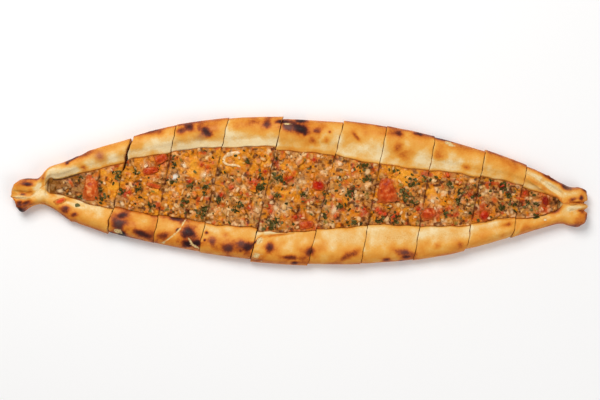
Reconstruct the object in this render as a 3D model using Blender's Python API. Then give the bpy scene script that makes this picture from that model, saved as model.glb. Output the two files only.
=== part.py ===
# Turkish pide: a long boat of baked flatbread with a minced meat filling, hand-cut into ten
# pieces that still lie together. Metres, +X along the length, +Y across, +Z up.
# The origin is on the flat underside, near the middle of the bread.
import math
import random

import bmesh
import bpy
import numpy as np
from mathutils import Euler, Matrix, Vector, noise

MM = 0.001

# Outline of the whole bread, seen from above
REACH = 240 * MM
CENTRE_BEND = (1.6 * MM, -14.7 * MM, -5.2 * MM, 9.5 * MM)
BODY_HALF_WIDTH = 63.4 * MM
BODY_TAPER = 0.80
BODY_POWER = 2.19
BODY_MIDDLE = 1.1 * MM
FLAP_WIDTH = 26.9 * MM
FLAP_EXTRA = 7.8 * MM
FLAP_EXTRA_AT = 75 * MM
FLAP_EXTRA_SPREAD = 58 * MM
FLAP_TAPER = 0.53

# The two pinched ends: (x, lower edge, upper edge), where the outline leaves the formula
LEFT_END = tuple(
    (x * MM, low * MM, high * MM)
    for x, low, high in (
        (-254.6, -1.0, 3.2),
        (-253.6, -3.4, 5.4),
        (-252.0, -6.4, 8.0),
        (-249.8, -11.6, 10.5),
        (-247.6, -15.4, 11.9),
        (-245.0, -16.5, 12.7),
        (-241.6, -14.2, 13.2),
        (-238.0, -11.9, 13.1),
        (-235.0, -10.7, 12.9),
        (-231.0, -9.7, 13.3),
        (-228.4, -9.5, 15.6),
        (-225.8, -9.9, 19.6),
        (-222.0, -11.3, 23.2),
        (-217.0, -13.8, 25.3),
        (-210.0, -18.4, 27.6),
        (-200.0, -25.1, 32.2),
    )
)
RIGHT_END = tuple(
    (x * MM, low * MM, high * MM)
    for x, low, high in (
        (196.0, -39.4, 22.8),
        (204.0, -36.3, 20.4),
        (212.0, -33.1, 17.0),
        (222.0, -29.8, 12.4),
        (229.0, -27.8, 9.1),
        (233.5, -27.7, 7.0),
        (237.0, -29.0, 5.2),
        (241.7, -30.2, 4.4),
        (246.5, -30.5, 4.6),
        (249.5, -29.0, 4.2),
        (251.6, -26.0, 2.6),
        (252.9, -22.4, -0.6),
        (253.7, -18.0, -5.0),
    )
)
LEFT_CREASE_Y = -3.6 * MM
RIGHT_CREASE_Y = -11.2 * MM
POCKET_LEFT = -224.0 * MM
POCKET_RIGHT = 231.0 * MM
LEFT_ROUNDING = 5.0 * MM
RIGHT_ROUNDING = 8.0 * MM
FILLING_LEFT = -217.0 * MM
FILLING_RIGHT = 224.0 * MM

# Near the ends the lower flap leaves the formula: centre x, spread along x, rise of its edge
LOWER_LIP_RISES = (
    (-212.0 * MM, 24.0 * MM, 3.0 * MM),
    (212.0 * MM, 22.0 * MM, -3.4 * MM),
)
# At the left end of the pocket the upper flap stands open: centre x, spread along x, rise of its edge
UPPER_LIP_RISE = (-222.0 * MM, 6.0 * MM, 4.2 * MM)

# Knife cuts: where each crosses the X axis, its lean (x per y) and its width
CUTS = (
    (-160.6 * MM, 0.262, 1.6 * MM),
    (-120.3 * MM, 0.199, 1.0 * MM),
    (-77.3 * MM, 0.223, 0.9 * MM),
    (-29.9 * MM, 0.228, 1.2 * MM),
    (22.9 * MM, 0.252, 1.0 * MM),
    (65.5 * MM, 0.191, 0.9 * MM),
    (110.5 * MM, 0.173, 1.0 * MM),
    (156.1 * MM, 0.195, 0.9 * MM),
    (194.9 * MM, 0.213, 0.9 * MM),
)
SLICE_SHIFT = tuple(
    shift * MM for shift in (-1.2, 0.6, 1.0, 0.3, -2.0, -0.4, 0.2, -0.6, 0.9, -0.4)
)
STATION_STEP = 7.4 * MM
END_STEP = 4.6 * MM
TIP_ROUNDING = 7.0 * MM
TIP_CLOSE = 0.985

# Heights across the bread
CROWN_HEIGHT = 16.4 * MM
WIDEST_HEIGHT = 6.2 * MM
FOOT_INSET = 5.0 * MM
FLOOR_HEIGHT = 4.8 * MM
LIP_NOSE_HEIGHT = 10.8 * MM
LIP_HALF_THICKNESS = 1.1 * MM
LIP_TUCK = 4.6 * MM
SEAM_DEPTH = 2.6 * MM
GAP = 0.4 * MM
FILLING_EDGE_HEIGHT = 9.3 * MM
FILLING_MOUND = 2.2 * MM
FILLING_INSET = 0.9 * MM
FILLING_RELIEF = 0.5 * MM
FILLING_ACROSS = 9

# Small toppings fused to the filling
TOPPING_PITCH = 11.5 * MM
TOPPING_EDGE_CLEARANCE = 3.4 * MM
TOPPING_CUT_CLEARANCE = 4.6 * MM
TOPPING_SEED = 7

# Tomato pieces, as large as berries: centre x, y, length, width, turn in degrees
TOMATOES = {
    "tomato_slice_left": (-183.6, 5.6, 22.4, 12.4, 86),
    "tomato_strip_left": (-131.2, 18.0, 14.5, 6.2, 12),
    "tomato_chunk_upper": (-122.0, 28.5, 11.6, 7.6, 24),
    "tomato_cube_middle": (16.0, 7.6, 8.4, 10.8, 80),
    "tomato_slice_lower": (5.6, -27.0, 13.0, 7.0, 8),
    "tomato_wedge_large": (76.4, 0.9, 23.0, 16.4, 96),
    "tomato_chunk_right": (113.2, -18.4, 13.0, 9.6, 20),
    "tomato_cube_right": (162.0, -21.4, 9.0, 7.8, 60),
    "tomato_strip_right": (215.6, -7.6, 9.4, 6.4, 100),
}
TOMATO_HEIGHT = 4.6 * MM
TOMATO_SUNK = 2.4 * MM
TOMATO_CLEARANCE = 0.4 * MM


def smooth_step(t):
    """0 below 0, 1 above 1, with an even slope change between."""
    t = min(1.0, max(0.0, t))
    return t * t * (3 - 2 * t)


def through_points(x, points, column):
    """The height at x of a smooth curve through (x, ...) points: cubic Hermite spans."""
    xs = np.array([p[0] for p in points])
    ys = np.array([p[column] for p in points])
    slopes = np.gradient(ys, xs)
    i = int(np.clip(np.searchsorted(xs, x) - 1, 0, len(xs) - 2))
    span = xs[i + 1] - xs[i]
    t = min(1.0, max(0.0, (x - xs[i]) / span))
    rise = ys[i] * (2 * t**3 - 3 * t**2 + 1) + ys[i + 1] * (3 * t**2 - 2 * t**3)
    return rise + span * (slopes[i] * (t**3 - 2 * t**2 + t) + slopes[i + 1] * (t**3 - t**2))


def body_edges(x):
    """Lower and upper edge of the body by its formula: a bent centre line and a tapering width."""
    u = x / REACH
    centre = sum(c * u**power for power, c in enumerate(CENTRE_BEND))
    reach = min(1.0, abs((x - BODY_MIDDLE) / REACH))
    half = BODY_HALF_WIDTH * (1 - BODY_TAPER * reach**BODY_POWER)
    return centre - half, centre + half


def outer_edges(x):
    """Lower and upper edge of the bread at x, with the pinched ends joined to the body."""
    low, high = body_edges(x)
    for table, blend in ((LEFT_END, (-x - 0.190) / 0.014), (RIGHT_END, (x - 0.190) / 0.014)):
        share = smooth_step(blend)
        if share > 0:
            low += share * (through_points(x, table, 1) - low)
            high += share * (through_points(x, table, 2) - high)
    return low, high


def crease(x):
    """Where the two flaps meet once the pocket has closed."""
    return LEFT_CREASE_Y if x < 0 else RIGHT_CREASE_Y


def lip_edges(x):
    """Lower and upper flap edge at x. Past the pocket's ends both are the crease."""
    low, high = body_edges(x)
    half = (high - low) / 2
    extra = FLAP_EXTRA * math.exp(-(((x - FLAP_EXTRA_AT) / FLAP_EXTRA_SPREAD) ** 2))
    flap = (FLAP_WIDTH + extra) * (half / BODY_HALF_WIDTH) ** FLAP_TAPER
    rise = sum(up * math.exp(-(((x - at) / spread) ** 2)) for at, spread, up in LOWER_LIP_RISES)
    at, spread, up = UPPER_LIP_RISE
    lift = up * math.exp(-(((x - at) / spread) ** 2))
    middle, opening = (low + high + rise + lift) / 2, half - flap - (rise - lift) / 2
    past = max(
        (POCKET_LEFT + LEFT_ROUNDING - x) / LEFT_ROUNDING,
        (x - POCKET_RIGHT + RIGHT_ROUNDING) / RIGHT_ROUNDING,
    )
    if past > 0:
        opening *= math.sqrt(max(0.0, 1 - past * past))
    ends = smooth_step((abs(x) - 0.226) / 0.014)
    middle += ends * (crease(x) - middle)
    wave = 0.5 * MM * math.sin(x / (9 * MM)) * smooth_step((0.215 - abs(x)) / 0.02)
    return middle - opening + wave, middle + opening + wave


def is_open(x):
    return POCKET_LEFT < x < POCKET_RIGHT


def crown(x, side):
    """Height of a flap: a long even roll with soft puffs, lower towards the ends."""
    low, high = body_edges(x)
    fullness = 0.86 + 0.14 * smooth_step((high - low) / (1.4 * BODY_HALF_WIDTH))
    puff = 0.9 * MM * math.sin(x / (17 * MM) + 2.1 * side)
    puff += 0.6 * MM * math.sin(x / (7.3 * MM) - 1.3 * side)
    return CROWN_HEIGHT * fullness + puff


def tip_roundness(x):
    """1 along the bread, falling like a circle to nearly 0 at the two tips."""
    left, right = LEFT_END[0][0], RIGHT_END[-1][0]
    t = max((left + TIP_ROUNDING - x) / TIP_ROUNDING, (x - right + TIP_ROUNDING) / TIP_ROUNDING)
    return math.sqrt(1 - min(TIP_CLOSE, max(0.0, t)) ** 2)


def flap_profile(outer, lip, height, lip_height):
    """Points (y, z) of one side, from its foot over the crown to the lip."""
    side = 1 if outer > lip else -1
    width = abs(outer - lip)
    roll = min(0.46 * width, 12 * MM)
    points = [
        (outer - side * min(FOOT_INSET, 0.35 * width), 0.0),
        (outer - side * 0.055 * width, 1.0 * MM),
        (outer, WIDEST_HEIGHT - 2.0 * MM),
    ]
    for angle in (8, 32, 56, 80):
        turn = math.radians(angle)
        points.append(
            (
                outer - side * roll * (1 - math.cos(turn)),
                WIDEST_HEIGHT + (height - WIDEST_HEIGHT) * math.sin(turn),
            )
        )
    for share in (0.25, 0.55, 0.85):
        y = outer - side * (roll + share * (width - roll))
        points.append((y, height - (height - lip_height) * smooth_step(share) * 0.92))
    return points


def crust_section(x):
    """The bread's section at x as two open lists of (y, z): outside, lip to lip, and channel."""
    low, high = outer_edges(x)
    lip_low, lip_high = lip_edges(x)
    round_ = tip_roundness(x)
    if is_open(x):
        rim = LIP_NOSE_HEIGHT + LIP_HALF_THICKNESS
    else:
        rim = crown(x, 0) - SEAM_DEPTH
    outside = []
    for outer, lip, side in ((high, lip_high, 1), (low, lip_low, -1)):
        profile = flap_profile(outer, lip, crown(x, side), rim)
        outside.append(profile)
    nose = LIP_NOSE_HEIGHT if is_open(x) else rim
    loop = [(lip_high, nose), *reversed(outside[0])]
    loop += [((low + high) / 2, 0.0), *outside[1], (lip_low, nose)]
    mid = 0.45 * rim
    loop = [(y, mid + (z - mid) * round_) for y, z in loop]
    tuck = min(LIP_TUCK, 0.3 * (high - lip_high), 0.3 * (lip_low - low))
    closing = min(1.0, (lip_high - lip_low) / (5 * MM))
    tuck *= 0.25 + 0.75 * closing
    under = LIP_NOSE_HEIGHT - LIP_HALF_THICKNESS
    channel = [
        (lip_low - 0.3 * tuck, under),
        (lip_low - tuck, under - 0.4 * MM),
        (lip_low - tuck, FLOOR_HEIGHT),
        ((lip_low + lip_high) / 2, FLOOR_HEIGHT),
        (lip_high + tuck, FLOOR_HEIGHT),
        (lip_high + tuck, under - 0.4 * MM),
        (lip_high + 0.3 * tuck, under),
    ]
    return loop, channel


def filling_section(x):
    """The filling's section at x: a bed that fills the channel, tucked under both lips."""
    _, channel = crust_section(x)
    lip_low, lip_high = lip_edges(x)
    wall_low, wall_high = channel[1][0] + GAP, channel[5][0] - GAP
    under = channel[1][1] - GAP
    floor = FLOOR_HEIGHT + GAP
    points = [(wall_low, under), (wall_low, floor), (wall_high, floor), (wall_high, under)]
    for k in range(FILLING_ACROSS):
        share = k / (FILLING_ACROSS - 1)
        y = lip_high - FILLING_INSET + share * (lip_low - lip_high + 2 * FILLING_INSET)
        points.append((y, filling_height(x, y)))
    return points


def filling_height(x, y):
    """Top of the filling: level under the lips, a low mound between them, and lumpy."""
    lip_low, lip_high = lip_edges(x)
    reach = max(1 * MM, lip_high - lip_low - 2 * FILLING_INSET)
    across = min(1.0, abs(2 * y - lip_low - lip_high) / reach)
    inner = 1 - across**4
    bumps = noise.noise(Vector((x, y, 0.0)) / (6 * MM))
    return FILLING_EDGE_HEIGHT + inner * (FILLING_MOUND + 2.2 * FILLING_RELIEF * bumps)


def cut_x(cut, y, side):
    """Where one face of a knife cut lies at y: side -1 for the piece before, 1 for the one after."""
    at, lean, width = cut
    return at + lean * y + side * width / 2


def slice_ends(index):
    """The functions that give a piece's start and end x at a given y."""
    start = (lambda y: cut_x(CUTS[index - 1], y, 1)) if index > 0 else None
    end = (lambda y: cut_x(CUTS[index], y, -1)) if index < len(CUTS) else None
    return start, end


def stations(index):
    """Station positions of a piece on the centre line, close together at a pinched tip."""
    start, end = slice_ends(index)
    a = LEFT_END[0][0] if start is None else start(0)
    b = RIGHT_END[-1][0] if end is None else end(0)
    step = END_STEP if start is None or end is None else STATION_STEP
    count = max(2, round((b - a) / step))
    share = [k / count for k in range(count + 1)]
    if start is None:
        share = [1 - math.sin(math.pi / 2 * (1 - s)) ** 0.8 for s in share]
    if end is None:
        share = [math.sin(math.pi / 2 * s) ** 0.8 for s in share]
    xs = [a + s * (b - a) for s in share]
    for pocket_end in (POCKET_LEFT, POCKET_RIGHT):
        if a < pocket_end < b:
            xs = sorted([x for x in xs if abs(x - pocket_end) > 1.5 * MM] + [pocket_end])
    return xs


def placed(index, x, share_from_cut, y, z):
    """A section point put in place: stations lean with the knife and straighten to the ends."""
    start, end = slice_ends(index)
    if start is None:
        lean = CUTS[index][1] * share_from_cut**2
    elif end is None:
        lean = CUTS[index - 1][1] * (1 - share_from_cut) ** 2
    else:
        lean = CUTS[index - 1][1] * (1 - share_from_cut) + CUTS[index][1] * share_from_cut
    return Vector((x + lean * y, y + SLICE_SHIFT[index], z))


def new_object(name, mesh_bm, material):
    """A named object from a bmesh, with its material and soft edges."""
    bmesh.ops.recalc_face_normals(mesh_bm, faces=mesh_bm.faces)
    if mesh_bm.calc_volume(signed=True) < 0:
        bmesh.ops.reverse_faces(mesh_bm, faces=mesh_bm.faces)
    mesh = bpy.data.meshes.new(name)
    mesh_bm.to_mesh(mesh)
    mesh_bm.free()
    mesh.materials.append(material)
    mesh.shade_smooth()
    mesh.set_sharp_from_angle(angle=math.radians(50))
    piece = bpy.data.objects.new(name, mesh)
    bpy.context.scene.collection.objects.link(piece)
    return piece


def bread_material(name, colour, roughness):
    material = bpy.data.materials.new(name)
    material.use_nodes = True
    shader = material.node_tree.nodes["Principled BSDF"]
    shader.inputs["Base Color"].default_value = (*colour, 1)
    shader.inputs["Roughness"].default_value = roughness
    shader.inputs["Metallic"].default_value = 0
    return material


def crust_piece(index, material):
    """One cut length of the bread: sections joined by quads, its channel closed at a pinched end."""
    bm = bmesh.new()
    xs = stations(index)
    rings = []
    for x in xs:
        share = (x - xs[0]) / (xs[-1] - xs[0])
        loop, channel = crust_section(x)
        has_channel = POCKET_LEFT <= x <= POCKET_RIGHT
        meets = not is_open(x)
        outer = [bm.verts.new(placed(index, x, share, y, z)) for y, z in loop[: -1 if meets else None]]
        if meets:
            outer.append(outer[0])
        inner = []
        if has_channel:
            inner = [bm.verts.new(placed(index, x, share, y, z)) for y, z in channel]
            inner = [outer[-1], *inner, outer[0]]
        rings.append((outer, inner))
    for (outer_a, inner_a), (outer_b, inner_b) in zip(rings, rings[1:]):
        for line_a, line_b in ((outer_a, outer_b), (inner_a, inner_b)):
            if line_a and line_b:
                for k in range(len(line_a) - 1):
                    corners = (line_a[k], line_a[k + 1], line_b[k + 1], line_b[k])
                    bm.faces.new(tuple(dict.fromkeys(corners)))
    for outer, inner in (rings[0], rings[-1]):
        loop = outer + inner[1:-1] if inner else outer[:-1]
        bm.faces.new(loop)
    for (_, inner), (_, inner_next), (_, inner_before) in zip(
        rings[1:-1], rings[2:], rings[:-2]
    ):
        if inner and not (inner_next and inner_before):
            bm.faces.new(inner[:-1])
    return new_object(f"crust_{index + 1:02d}", bm, material)


def filling_piece(index, material):
    """One cut length of the filling bed, on the crust's own stations."""
    bm = bmesh.new()
    xs = stations(index)
    rings = []
    for x in xs:
        if FILLING_LEFT <= x <= FILLING_RIGHT:
            share = (x - xs[0]) / (xs[-1] - xs[0])
            section = filling_section(x)
            rings.append([bm.verts.new(placed(index, x, share, y, z)) for y, z in section])
    for ring_a, ring_b in zip(rings, rings[1:]):
        for k in range(len(ring_a)):
            m = (k + 1) % len(ring_a)
            bm.faces.new((ring_a[k], ring_a[m], ring_b[m], ring_b[k]))
    bm.faces.new(rings[0])
    bm.faces.new(rings[-1])
    return new_object(f"filling_{index + 1:02d}", bm, material)


def lump(bm, kind, rng):
    """Adds one small topping at the origin: a crumb of mince, a dice of pepper or a parsley flake."""
    if kind == "crumb":
        made = bmesh.ops.create_icosphere(bm, subdivisions=1, radius=1.0)["verts"]
        size = [rng.uniform(2.0, 3.2) * MM, rng.uniform(1.8, 2.6) * MM, 1.7 * MM]
    elif kind == "dice":
        made = bmesh.ops.create_cube(bm, size=1.5)["verts"]
        size = [rng.uniform(2.0, 3.0) * MM, rng.uniform(1.7, 2.4) * MM, 1.8 * MM]
    else:
        made = bmesh.ops.create_cone(
            bm, cap_ends=True, cap_tris=True, segments=6, radius1=1.0, radius2=0.8, depth=1.0
        )["verts"]
        size = [rng.uniform(2.6, 4.0) * MM, rng.uniform(1.4, 2.2) * MM, 2.2 * MM]
        for vert in made:
            vert.co.z += 0.35 * math.sin(2.2 * vert.co.x)
    for vert in made:
        vert.co *= 1 + 0.12 * rng.uniform(-1, 1)
        vert.co = Vector(a * b for a, b in zip(vert.co, size))
    turn = Euler((rng.uniform(-0.3, 0.3), rng.uniform(-0.3, 0.3), rng.uniform(0, math.tau)))
    bmesh.ops.rotate(bm, verts=made, matrix=turn.to_matrix())
    return made


def slice_of(x, y):
    """Index of the piece that a point lies in, and its distance from the nearest cut."""
    faces = [at + lean * y for at, lean, _ in CUTS]
    index = sum(x > face for face in faces)
    return index, min(abs(x - face) for face in faces)


def unleaned_x(index, x, y):
    """The station whose leaning section passes through (x, y)."""
    start, end = slice_ends(index)
    if start is None or end is None:
        return x - y * (CUTS[min(index, len(CUTS) - 1)][1] if abs(x) < 0.2 else 0.0)
    return x - y * (CUTS[index - 1][1] + CUTS[index][1]) / 2


def clear_of_tomatoes(x, y, margin):
    """True if (x, y) is at least margin outside every tomato's oval."""
    for cx, cy, length, width, degrees in TOMATOES.values():
        dx, dy = x - cx * MM, y - cy * MM
        c, s = math.cos(math.radians(degrees)), math.sin(math.radians(degrees))
        along, across = dx * c + dy * s, dy * c - dx * s
        a, b = length * MM / 2 + margin, width * MM / 2 + margin
        if (along / a) ** 2 + (across / b) ** 2 < 1:
            return False
    return True


def topping_places(rng):
    """A jittered grid over the filling, clear of lips, cuts and tomatoes, with a kind for each."""
    places = []
    rows = int(2 * BODY_HALF_WIDTH / TOPPING_PITCH)
    columns = int((FILLING_RIGHT - FILLING_LEFT) / TOPPING_PITCH)
    for i in range(columns):
        for j in range(-rows // 2, rows // 2 + 1):
            x = FILLING_LEFT + (i + 0.5 + rng.uniform(-0.3, 0.3)) * TOPPING_PITCH
            y = (j + 0.5 * (i % 2) + rng.uniform(-0.3, 0.3)) * TOPPING_PITCH
            kind = rng.choice(("crumb", "crumb", "dice", "flake", "flake"))
            index, from_cut = slice_of(x, y)
            lip_low, lip_high = lip_edges(unleaned_x(index, x, y))
            room = min(y - lip_low, lip_high - y) - TOPPING_EDGE_CLEARANCE
            if room > 0 and from_cut > TOPPING_CUT_CLEARANCE and clear_of_tomatoes(x, y, 4.2 * MM):
                places.append((index, x, y, kind))
    return places


def apply_boolean(piece, operation, others, solver):
    """One Boolean with a collection, applied, with the collection's objects then removed."""
    group = bpy.data.collections.new("group")
    for other in others:
        group.objects.link(other)
    boolean = piece.modifiers.new("join", "BOOLEAN")
    boolean.operation = operation
    boolean.operand_type = "COLLECTION"
    boolean.collection = group
    boolean.solver = solver
    graph = bpy.context.evaluated_depsgraph_get()
    result = bpy.data.meshes.new_from_object(piece.evaluated_get(graph))
    piece.modifiers.remove(boolean)
    piece.data = result
    for other in others:
        bpy.data.objects.remove(other)
    bpy.data.collections.remove(group)


def fuse_toppings(fillings, material):
    """Scatters the small toppings and joins each lot to its own length of filling."""
    rng = random.Random(TOPPING_SEED)
    groups = {index: [] for index in fillings}
    for number, (index, x, y, kind) in enumerate(topping_places(rng)):
        bm = bmesh.new()
        made = lump(bm, kind, rng)
        z = filling_height(unleaned_x(index, x, y), y)
        shifted = Vector((x, y + SLICE_SHIFT[index], z))
        bmesh.ops.translate(bm, verts=made, vec=shifted)
        groups[index].append(new_object(f"topping_{number}", bm, material))
    for index, lumps in groups.items():
        if lumps:
            apply_boolean(fillings[index], "UNION", lumps, "MANIFOLD")


def tomato_mesh(length, width, extra):
    """A soft-cornered piece of tomato lying flat: a superellipse outline under a domed skin."""
    bm = bmesh.new()
    made = bmesh.ops.create_icosphere(bm, subdivisions=2, radius=1.0)["verts"]
    for vert in made:
        x, y, z = vert.co
        corner = (abs(x) ** 3 + abs(y) ** 3) ** (1 / 3) or 1.0
        flat = math.hypot(x, y) / corner if math.hypot(x, y) > 1e-6 else 1.0
        taper = 1 - 0.22 * x
        vert.co.x = x * flat * (length / 2 + extra)
        vert.co.y = y * flat * taper * (width / 2 + extra)
        vert.co.z = z * (TOMATO_HEIGHT / 2 + extra)
    return bm


def tomato_pieces(fillings, material):
    """The berry-sized tomato pieces, each in a recess of its own in the filling."""
    cutters = {}
    for name, (x, y, length, width, degrees) in TOMATOES.items():
        index, _ = slice_of(x * MM, y * MM)
        z = filling_height(unleaned_x(index, x * MM, y * MM), y * MM)
        z += TOMATO_HEIGHT / 2 - TOMATO_SUNK
        place = Matrix.Translation((x * MM, y * MM + SLICE_SHIFT[index], z))
        place @= Matrix.Rotation(math.radians(degrees), 4, "Z")
        for extra in (0.0, TOMATO_CLEARANCE):
            bm = tomato_mesh(length * MM, width * MM, extra)
            bmesh.ops.transform(bm, matrix=place, verts=bm.verts)
            piece = new_object(name if not extra else f"recess_{name}", bm, material)
            if extra:
                cutters.setdefault(index, []).append(piece)
    for index, tools in cutters.items():
        apply_boolean(fillings[index], "DIFFERENCE", tools, "MANIFOLD")


def main():
    for old in list(bpy.data.objects):
        bpy.data.objects.remove(old)
    dough = bread_material("baked_dough", (0.76, 0.50, 0.22), 0.6)
    mince = bread_material("minced_filling", (0.48, 0.20, 0.06), 0.5)
    tomato = bread_material("tomato_flesh", (0.55, 0.07, 0.02), 0.35)
    fillings = {}
    for index in range(len(CUTS) + 1):
        crust_piece(index, dough)
        fillings[index] = filling_piece(index, mince)
    fuse_toppings(fillings, mince)
    tomato_pieces(fillings, tomato)


main()
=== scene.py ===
import itertools
import bmesh
import bpy
import numpy as np
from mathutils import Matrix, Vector


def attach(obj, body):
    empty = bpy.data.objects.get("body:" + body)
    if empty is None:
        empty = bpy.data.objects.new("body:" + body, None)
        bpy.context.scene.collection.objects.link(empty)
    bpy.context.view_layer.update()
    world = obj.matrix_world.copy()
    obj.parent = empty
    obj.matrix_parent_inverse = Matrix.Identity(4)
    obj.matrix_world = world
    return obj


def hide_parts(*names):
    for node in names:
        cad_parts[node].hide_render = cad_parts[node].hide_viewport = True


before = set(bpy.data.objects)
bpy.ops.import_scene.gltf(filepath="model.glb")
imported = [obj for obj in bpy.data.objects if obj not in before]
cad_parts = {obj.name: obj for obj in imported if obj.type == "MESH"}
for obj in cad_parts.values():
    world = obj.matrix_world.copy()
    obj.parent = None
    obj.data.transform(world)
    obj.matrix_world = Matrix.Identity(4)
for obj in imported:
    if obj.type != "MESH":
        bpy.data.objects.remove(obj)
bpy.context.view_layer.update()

# The bread's plan: a long boat of dough, shaped by hand, so its middle line bends and its width
# tapers to two pinched ends. Its edges are folded in over the filling. All lengths in metres.
MM = 0.001
REACH = 240 * MM
MIDDLE_BEND = np.array([1.6, -14.7, -5.2, 9.5]) * MM
HALF_WIDTH = 63.4 * MM
FLAP_WIDTH = 26.9 * MM
POCKET = (-224.0 * MM, 231.0 * MM)
POCKET_ROUNDING = (5.0 * MM, 7.0 * MM)
# Near the ends the lower flap is wider or narrower than the formula: x, spread, rise of its edge
LOWER_RISES = ((-212.0 * MM, 24.0 * MM, 3.0 * MM), (212.0 * MM, 22.0 * MM, -3.4 * MM))
# and the upper flap stands open at the pocket's left end
UPPER_RISE = (-222.0 * MM, 6.0 * MM, 4.2 * MM)
# x, lower edge and upper edge of the two pinched ends, in millimetres
LEFT_END = np.array([
    (-255.2, 0.9, 1.1), (-254.6, -1, 3.2), (-253.6, -3.4, 5.4), (-252, -6.4, 8), (-249.8, -11.6, 10.5),
    (-247.6, -15.4, 11.9), (-245, -16.5, 12.7), (-241.6, -14.2, 13.2), (-238, -11.9, 13.1),
    (-235, -10.7, 12.9), (-231, -9.7, 13.3), (-228.4, -9.5, 15.6), (-225.8, -9.9, 19.6),
    (-222, -11.3, 23.2), (-217, -13.8, 25.3), (-210, -18.4, 27.6), (-200, -25.1, 32.2),
])
RIGHT_END = np.array([
    (196, -39.4, 22.8), (204, -36.3, 20.4), (212, -33.1, 17), (222, -29.8, 12.4), (229, -27.8, 9.1),
    (233.5, -27.7, 7), (237, -29, 5.2), (241.7, -30.2, 4.4), (246.5, -30.5, 4.6), (249.5, -29, 4.2),
    (251.6, -26, 2.6), (252.9, -22.4, -0.6), (253.7, -18, -5), (254.3, -11.8, -11.6),
])


def ease(t):
    """3t^2 - 2t^3, held at 0 below 0 and at 1 above 1."""
    t = np.clip(t, 0.0, 1.0)
    return t * t * (3 - 2 * t)


def hermite(x, table, column):
    """A smooth curve through a table's points: cubic Hermite spans with central slopes."""
    xs, ys = table[:, 0], table[:, column]
    slopes = np.gradient(ys, xs)
    i = np.clip(np.searchsorted(xs, x) - 1, 0, len(xs) - 2)
    span = xs[i + 1] - xs[i]
    t = np.clip((x - xs[i]) / span, 0, 1)
    level = ys[i] * (2 * t**3 - 3 * t**2 + 1) + ys[i + 1] * (3 * t**2 - 2 * t**3)
    return level + span * (slopes[i] * (t**3 - 2 * t**2 + t) + slopes[i + 1] * (t**3 - t**2))


def body_edges(x):
    """Centre line c = sum of bend_k (x/240)^k; edges at c -+ w, w = 63.4 (1 - 0.8 |x/240|^2.19)."""
    u = x / REACH
    centre = sum(c * u**k for k, c in enumerate(MIDDLE_BEND))
    half = HALF_WIDTH * (1 - 0.80 * np.clip(np.abs(u - 0.0046), 0, 1) ** 2.19)
    return centre - half, centre + half


def outer_edges(x):
    """The bread's two outer edges at x: the body's, eased into the pinched ends' tables."""
    low, high = body_edges(x)
    for table, share in ((LEFT_END, ease((-x / MM - 190) / 14)), (RIGHT_END, ease((x / MM - 190) / 14))):
        low = low + share * (hermite(x / MM, table, 1) * MM - low)
        high = high + share * (hermite(x / MM, table, 2) * MM - high)
    return low, high


def lip_edges(x):
    """The flaps' free edges at x: w less the flap's width, closing like a circle at the pocket's ends."""
    low, high = body_edges(x)
    half = (high - low) / 2
    extra = 7.8 * MM * np.exp(-(((x / MM - 75) / 58) ** 2))
    flap = (FLAP_WIDTH + extra) * (half / HALF_WIDTH) ** 0.53
    rise = sum(up * np.exp(-(((x - at) / spread) ** 2)) for at, spread, up in LOWER_RISES)
    lift = UPPER_RISE[2] * np.exp(-(((x - UPPER_RISE[0]) / UPPER_RISE[1]) ** 2))
    opening = half - flap - (rise - lift) / 2
    past = np.maximum((POCKET[0] - x) / POCKET_ROUNDING[0], (x - POCKET[1]) / POCKET_ROUNDING[1]) + 1
    opening = opening * np.sqrt(np.clip(1 - np.clip(past, 0, 1) ** 2, 0, 1))
    crease = np.where(x < 0, -3.6 * MM, -11.2 * MM)
    middle = (low + high + rise + lift) / 2
    middle = middle + ease((np.abs(x) / MM - 226) / 14) * (crease - middle)
    wave = 0.5 * np.sin(x / (9 * MM)) + 0.3 * np.sin(x / (3.1 * MM) + 1)
    wave = wave * MM * ease((215 - np.abs(x) / MM) / 20)
    return middle - opening + wave, middle + opening + wave


# The knife cuts: nine straight strokes, all leaning the same way, that part the bread into ten
# lengths. They lie together again, some nudged a little out of line.
CUT_AT = np.array([-160.6, -120.3, -77.3, -29.9, 22.9, 65.5, 110.5, 156.1, 194.9]) * MM
CUT_LEAN = np.array([0.262, 0.199, 0.223, 0.228, 0.252, 0.191, 0.173, 0.195, 0.213])
CUT_WIDTH = np.array([1.6, 1.0, 0.9, 1.2, 1.0, 0.9, 1.0, 0.9, 0.9]) * MM
TORN_OPEN = 0.8 * MM
CUT_WANDER = np.array([0.55, 0.34, 0.28, 0.24, 0.30, 0.24, 0.28, 0.34, 0.28]) * MM
NUDGE = np.array([-1.2, 0.6, 1.0, 0.3, -2.0, -0.4, 0.2, -0.6, 0.9, -0.4]) * MM
LENGTHS = range(len(CUT_AT) + 1)
GRAIN = 0.62 * MM


def stations(index, grain=GRAIN, open_by=0.34):
    """Station positions along one length and their lean (x per y)."""
    a = CUT_AT[index - 1] + open_by * CUT_WIDTH[index - 1] if index else LEFT_END[0, 0] * MM
    b = CUT_AT[index] - open_by * CUT_WIDTH[index] if index < len(CUT_AT) else RIGHT_END[-1, 0] * MM
    share = np.linspace(0, 1, int((b - a) / grain) + 1)
    if index == 0:
        share = 1 - np.sin(np.pi / 2 * (1 - share)) ** 0.9
        lean = CUT_LEAN[0] * share**2
    elif index == len(CUT_AT):
        share = np.sin(np.pi / 2 * share) ** 0.9
        lean = CUT_LEAN[-1] * (1 - share) ** 2
    else:
        lean = CUT_LEAN[index - 1] + share * (CUT_LEAN[index] - CUT_LEAN[index - 1])
    return a + share * (b - a), lean


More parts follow.
